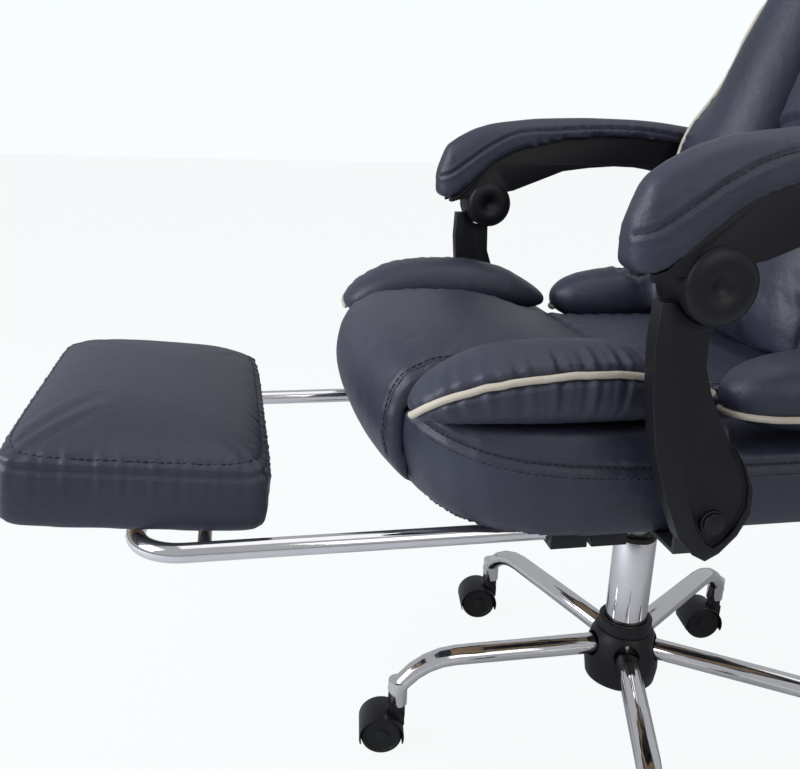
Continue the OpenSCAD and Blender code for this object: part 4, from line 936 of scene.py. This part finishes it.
class CHAIR_OT_back(bpy.types.Operator):
    """Builds the backrest: rear cover, centre panel, wings with hip bolsters, piping and seams"""
    bl_idname = "chair.back"
    bl_label = "Backrest"

    def execute(self, context):
        s = context.scene.chair_looks
        cover = cushion("back_cover", "back_rear_cover", 0.006, shrink=0.0005)
        finer(cover)
        self.centre_panel(s.stitch)
        self.wings(s.piping_radius)
        return {"FINISHED"}

    def centre_panel(self, pitch):
        centre = cushion("back_centre", "back_centre_panel", 0.0052, shrink=0.002, ease=5)
        inward = Vector((0, math.cos(LEAN), -math.sin(LEAN)))

        def held(co):
            fold = np.minimum(*[np.abs(back_height(co) - tuck) for tuck in BACK_TUCKS])
            return np.maximum(np.where(back_depth(co) > BACK_PAD - 0.012, 1.0, 0.0),
                              np.maximum(np.clip(1.2 - fold / 0.006, 0, 0.9),
                                         np.where(np.abs(co[:, 0]) > 0.106, 0.6, 0.0)))

        blow_up(centre, held, pressure=4.0, cap=0.012)
        finer(centre)
        shell = skin(centre)
        for h in BACK_TUCKS:
            across = line([back_point(x, -0.2, h + 0.010 * math.cos(x / 0.11 * 1.5))
                           for x in (-.108, -.07, -.03, 0, .03, .07, .108)], 50)
            sew(centre, shot(shell, across, [inward] * 50), 0.0060, 0.0050, gathers=0.0016, wave=0.018,
                seed=4.0 * h, lips=0.001)
        rows = []
        for _, side in SIDES:
            edge = line([back_point(side * BACK_SEAM_X, -0.2, h) for h in (0.03, 0.2, 0.35, 0.5, 0.67)], 110)
            rows.append(shot(shell, edge, [inward] * 110))
            sew(centre, rows[-1], 0.0012, 0.0022, gathers=0.0008, reach=0.012, wave=0.02, seed=2.0 + side)
        shell = skin(centre)
        stitching("back_centre_stitches", [laid(shell, row, 0.0002) for row in rows], "backrest", pitch)

    def wings(self, radius):
        wing = cushion("back_wing_left", "back_wing_leather_left", 0.0055, shrink=0.002, ease=4)
        co = coords(wing.data)
        place(wing.data, np.array([wing_flare(*row) for row in zip(co, back_depth(co), back_height(co))]))
        pipe = line([back_point(*wing_edge(t), 0.02 + 0.676 * t) for t in np.linspace(0, 1, 25)], 120)
        way = laid(skin(wing), pipe)

        def held(co):
            rear = np.where(back_depth(co) > BACK_PAD - 0.01, np.where(co[:, 2] > 0.56, 1.0, 0.4), 0.0)
            inner = np.maximum(np.where(co[:, 0] < 0.117, 0.8, 0.0), np.where(co[:, 2] < 0.478, 1.0, 0.0))
            return np.maximum(rear, np.maximum(np.clip(1.3 - along_line(co, way)[0] / 0.007, 0, 0.9), inner))

        blow_up(wing, held, pressure=3.5, cap=0.009, frames=16)
        finer(wing)
        sew(wing, way, 0.0035, 0.0040, gathers=0.0014, wave=0.017, seed=1.1, lips=0.0008)
        joint = laid(skin(wing), line(WING_JOINT, 40), 0.0, 1)
        sew(wing, joint, 0.0050, 0.0050, gathers=0.0016, wave=0.018, seed=0.7, lips=0.001)
        shell = skin(wing)
        hip = laid(shell, line(HIP_PIPE), radius * 0.7)
        up = laid(shell, pipe, radius * 0.7)
        over = [back_point(x, wing_edge(1)[1], h) for x, h in TOP_PIPE]
        whole = line(up[:-4:3] + over, 150)
        whole += mirrored(reversed(whole[:-1]))
        cords = bm_of(*[tube_mesh("piping", part, radius, 16) for part in (whole, hip, mirrored(hip))])
        add("back_piping_cord", mesh_of(cords, "piping"), "piping", "backrest", ["back_piping"])
        other = twin(wing, "leather", "back_wing_leather_right", "back_wing_right")


class CHAIR_OT_arms(bpy.types.Operator):
    """Builds the linked armrests: struts, carriers with their knuckle discs, padded tops and bolts"""
    bl_idname = "chair.arms"
    bl_label = "Armrests"

    def execute(self, context):
        for name, _ in SIDES:
            finished("arm_strut_" + name, "plastic", 0.0024, angle=40, segments=3)
            finished("arm_body_" + name, "plastic", 0.0022, angle=40, segments=3)
        finished("strut_bolts", "gloss", 0.0008, segments=3)
        for name, side in SIDES:
            bm = bmesh.new()
            for face in (-1, 1):
                lathe(bm, [(face * (KNUCKLE_HALF + h / 1000), r / 1000, 0) for r, h in KNUCKLE_DISH], (1, 0, 0), 64)
            bmesh.ops.translate(bm, vec=(side * ARM_X, KNUCKLE_Y, KNUCKLE_Z), verts=bm.verts)
            add("arm_knuckle_caps_" + name, mesh_of(bm, "knuckle", 60), "plastic", "arm_" + name)

        pad = cushion("arm_pad_left", "arm_pad_leather_left", 0.0042, shrink=0.0015, ease=4)
        blow_up(pad, lambda co: np.where(normals(pad.data)[:, 2] < -0.5, 1.0, 0.15), pressure=3.0, cap=0.006, frames=14)
        finer(pad)
        shell = skin(pad)
        rows = []
        for _, side in SIDES:
            out = line([(ARM_X + side * 0.06, y, z) for y, z in ARM_SEAM], 90)
            rows.append(shot(shell, out, [(-side, 0, 0)] * 90))
            sew(pad, rows[-1], 0.0014, 0.0022, gathers=0.0005, reach=0.012, wave=0.02, seed=2.0 + side, lips=0.0005)
        shell = skin(pad)
        rows = [laid(shell, row, 0.0003) for row in rows]
        other = twin(pad, "leather", "arm_pad_leather_right", "arm_pad_right")
        pitch = context.scene.chair_looks.stitch
        stitching("arm_pad_stitches_left", rows, "arm_left", pitch)
        stitching("arm_pad_stitches_right", [mirrored(row) for row in rows], "arm_right", pitch)
        return {"FINISHED"}


# ---------------- camera, light, floor and world

SENSOR_MM, PHOTO_W = 36.0, 800
# The fitted camera: its place, its turn in degrees (heading, pitch, roll), and the picture's shift in pixels.
CAMERA_SPOT, CAMERA_TURN, CAMERA_SHIFT = (0.8619, -0.4655, 0.7325), (11.5461, -17.9608, 1.7876), (-3.29, 12.69)
FLOOR_HALF, FLOOR_DROP = 14.0, 0.0004


class CHAIR_OT_stage(bpy.types.Operator):
    """Sets the camera at the photograph's viewpoint, the pale floor, the light and the world"""
    bl_idname = "chair.stage"
    bl_label = "Camera and light"

    def execute(self, context):
        stage, scene = context.scene.chair_stage, context.scene
        self.camera(scene, stage.lens)
        scene.view_settings.view_transform = "Standard"
        fill = stage.fill_power
        for name, power, size, spot, aim, tint in (
                ("window", stage.key_power, 1.9, (0.3, -2.5, 1.75), (0, -0.1, 0.5), (0.90, 0.95, 1.0)),
                ("room", fill, 1.6, (2.4, 0.6, 1.9), (0, 0, 0.5), (1.0, 0.97, 0.94)),
                ("ceiling", fill * 1.1, 2.2, (0.0, 0.2, 2.9), (0, 0, 0.5), (0.97, 0.98, 1.0))):
            light = bpy.data.lights.new(name, "AREA")
            light.energy, light.size, light.color = power, size, tint
            turn = (Vector(aim) - Vector(spot)).to_track_quat("-Z", "Y").to_matrix().to_4x4()
            linked(name, light).matrix_world = Matrix.Translation(spot) @ turn
        self.floor()
        self.world(scene)
        return {"FINISHED"}

    def camera(self, scene, lens):
        psi, pitch, roll = [math.radians(angle) for angle in CAMERA_TURN]
        ahead = Vector((-math.cos(psi) * math.cos(pitch), math.sin(psi) * math.cos(pitch), math.sin(pitch)))
        right = ahead.cross(Vector((0, 0, 1))).normalized()
        up = right.cross(ahead)
        across = math.cos(roll) * right + math.sin(roll) * up
        upward = -math.sin(roll) * right + math.cos(roll) * up
        data = bpy.data.cameras.new("camera")
        data.lens, data.sensor_width, data.sensor_fit = lens, SENSOR_MM, "HORIZONTAL"
        data.shift_x, data.shift_y = [shift / PHOTO_W for shift in CAMERA_SHIFT]
        data.clip_start = 0.01
        scene.camera = linked("camera", data)
        turn = Matrix((across, upward, -ahead)).transposed()
        scene.camera.matrix_world = Matrix.Translation(CAMERA_SPOT) @ turn.to_4x4()

    def floor(self):
        """A pale floor that takes the light's shadows, and glows in the camera's eyes alone."""
        bm = bmesh.new()
        bmesh.ops.create_grid(bm, x_segments=1, y_segments=1, size=FLOOR_HALF)
        bmesh.ops.translate(bm, vec=(0, 0, -FLOOR_DROP), verts=bm.verts)
        mesh = bpy.data.meshes.new("floor")
        bm.to_mesh(mesh)
        bm.free()
        floor = linked("floor", mesh)
        f = Finish("pale_floor", Roughness=0.85)
        f.put("Base Color", f.mix(f.noise(30.0), rgb((0.80, 0.82, 0.84)), rgb((0.84, 0.86, 0.87))))
        seen = Sock(f.tree, f.tree.nodes.new("ShaderNodeLightPath").outputs["Is Camera Ray"])
        glow = f.node("ShaderNodeEmission", Color=rgb((0.97, 1.0, 1.0)), Strength=1.0)
        blend = f.node("ShaderNodeMixShader", i0=seen * 0.93, i1=Sock(f.tree, f.shader.outputs[0]), i2=glow)
        f.tree.links.new(blend.socket, f.tree.nodes["Material Output"].inputs["Surface"])
        mesh.materials.append(f.material)

    def world(self, scene):
        """A bright backdrop for the camera, and a dimmer sky for the light and the reflections."""
        world = bpy.data.worlds.new("studio")
        scene.world = world
        world.use_nodes = True
        tree = world.node_tree
        path = tree.nodes.new("ShaderNodeLightPath")
        seen, gloss, through = [Sock(tree, path.outputs["Is %s Ray" % kind])
                                for kind in ("Camera", "Glossy", "Transmission")]
        mix = tree.nodes.new("ShaderNodeMix")
        mix.data_type = "RGBA"
        mix.inputs[6].default_value = (0.16, 0.17, 0.195, 1)
        mix.inputs[7].default_value = (0.945, 0.984, 1.0, 1)
        tree.links.new(((seen + through).clamp() + gloss * 0.42).clamp().socket, mix.inputs[0])
        tree.links.new(mix.outputs[2], tree.nodes["Background"].inputs[0])


class CHAIR_PT_panel(bpy.types.Panel):
    """Lists the pieces of the chair"""
    bl_idname = "CHAIR_PT_panel"
    bl_label = "Reclining office chair"
    bl_space_type = "VIEW_3D"
    bl_region_type = "UI"
    bl_category = "Chair"

    def draw(self, context):
        layout = self.layout
        for operator in OPERATORS:
            layout.operator(operator.bl_idname)
        for group in (context.scene.chair_looks, context.scene.chair_stage):
            for name in group.__annotations__:
                layout.prop(group, name)


OPERATORS = (CHAIR_OT_base, CHAIR_OT_casters, CHAIR_OT_mechanism, CHAIR_OT_footrest, CHAIR_OT_seat, CHAIR_OT_back,
             CHAIR_OT_arms, CHAIR_OT_stage)
CLASSES = (ChairLooks, ChairStage) + OPERATORS + (CHAIR_PT_panel,)


def register():
    for cls in CLASSES:
        bpy.utils.register_class(cls)
    bpy.types.Scene.chair_looks = bpy.props.PointerProperty(type=ChairLooks)
    bpy.types.Scene.chair_stage = bpy.props.PointerProperty(type=ChairStage)


def unregister():
    del bpy.types.Scene.chair_stage
    del bpy.types.Scene.chair_looks
    for cls in reversed(CLASSES):
        bpy.utils.unregister_class(cls)


def main():
    register()
    prepare_looks(bpy.context.scene.chair_looks)
    for operator in OPERATORS:
        group, name = operator.bl_idname.split(".")
        getattr(getattr(bpy.ops, group), name)()
    bpy.context.view_layer.update()


if __name__ == "__main__":
    main()
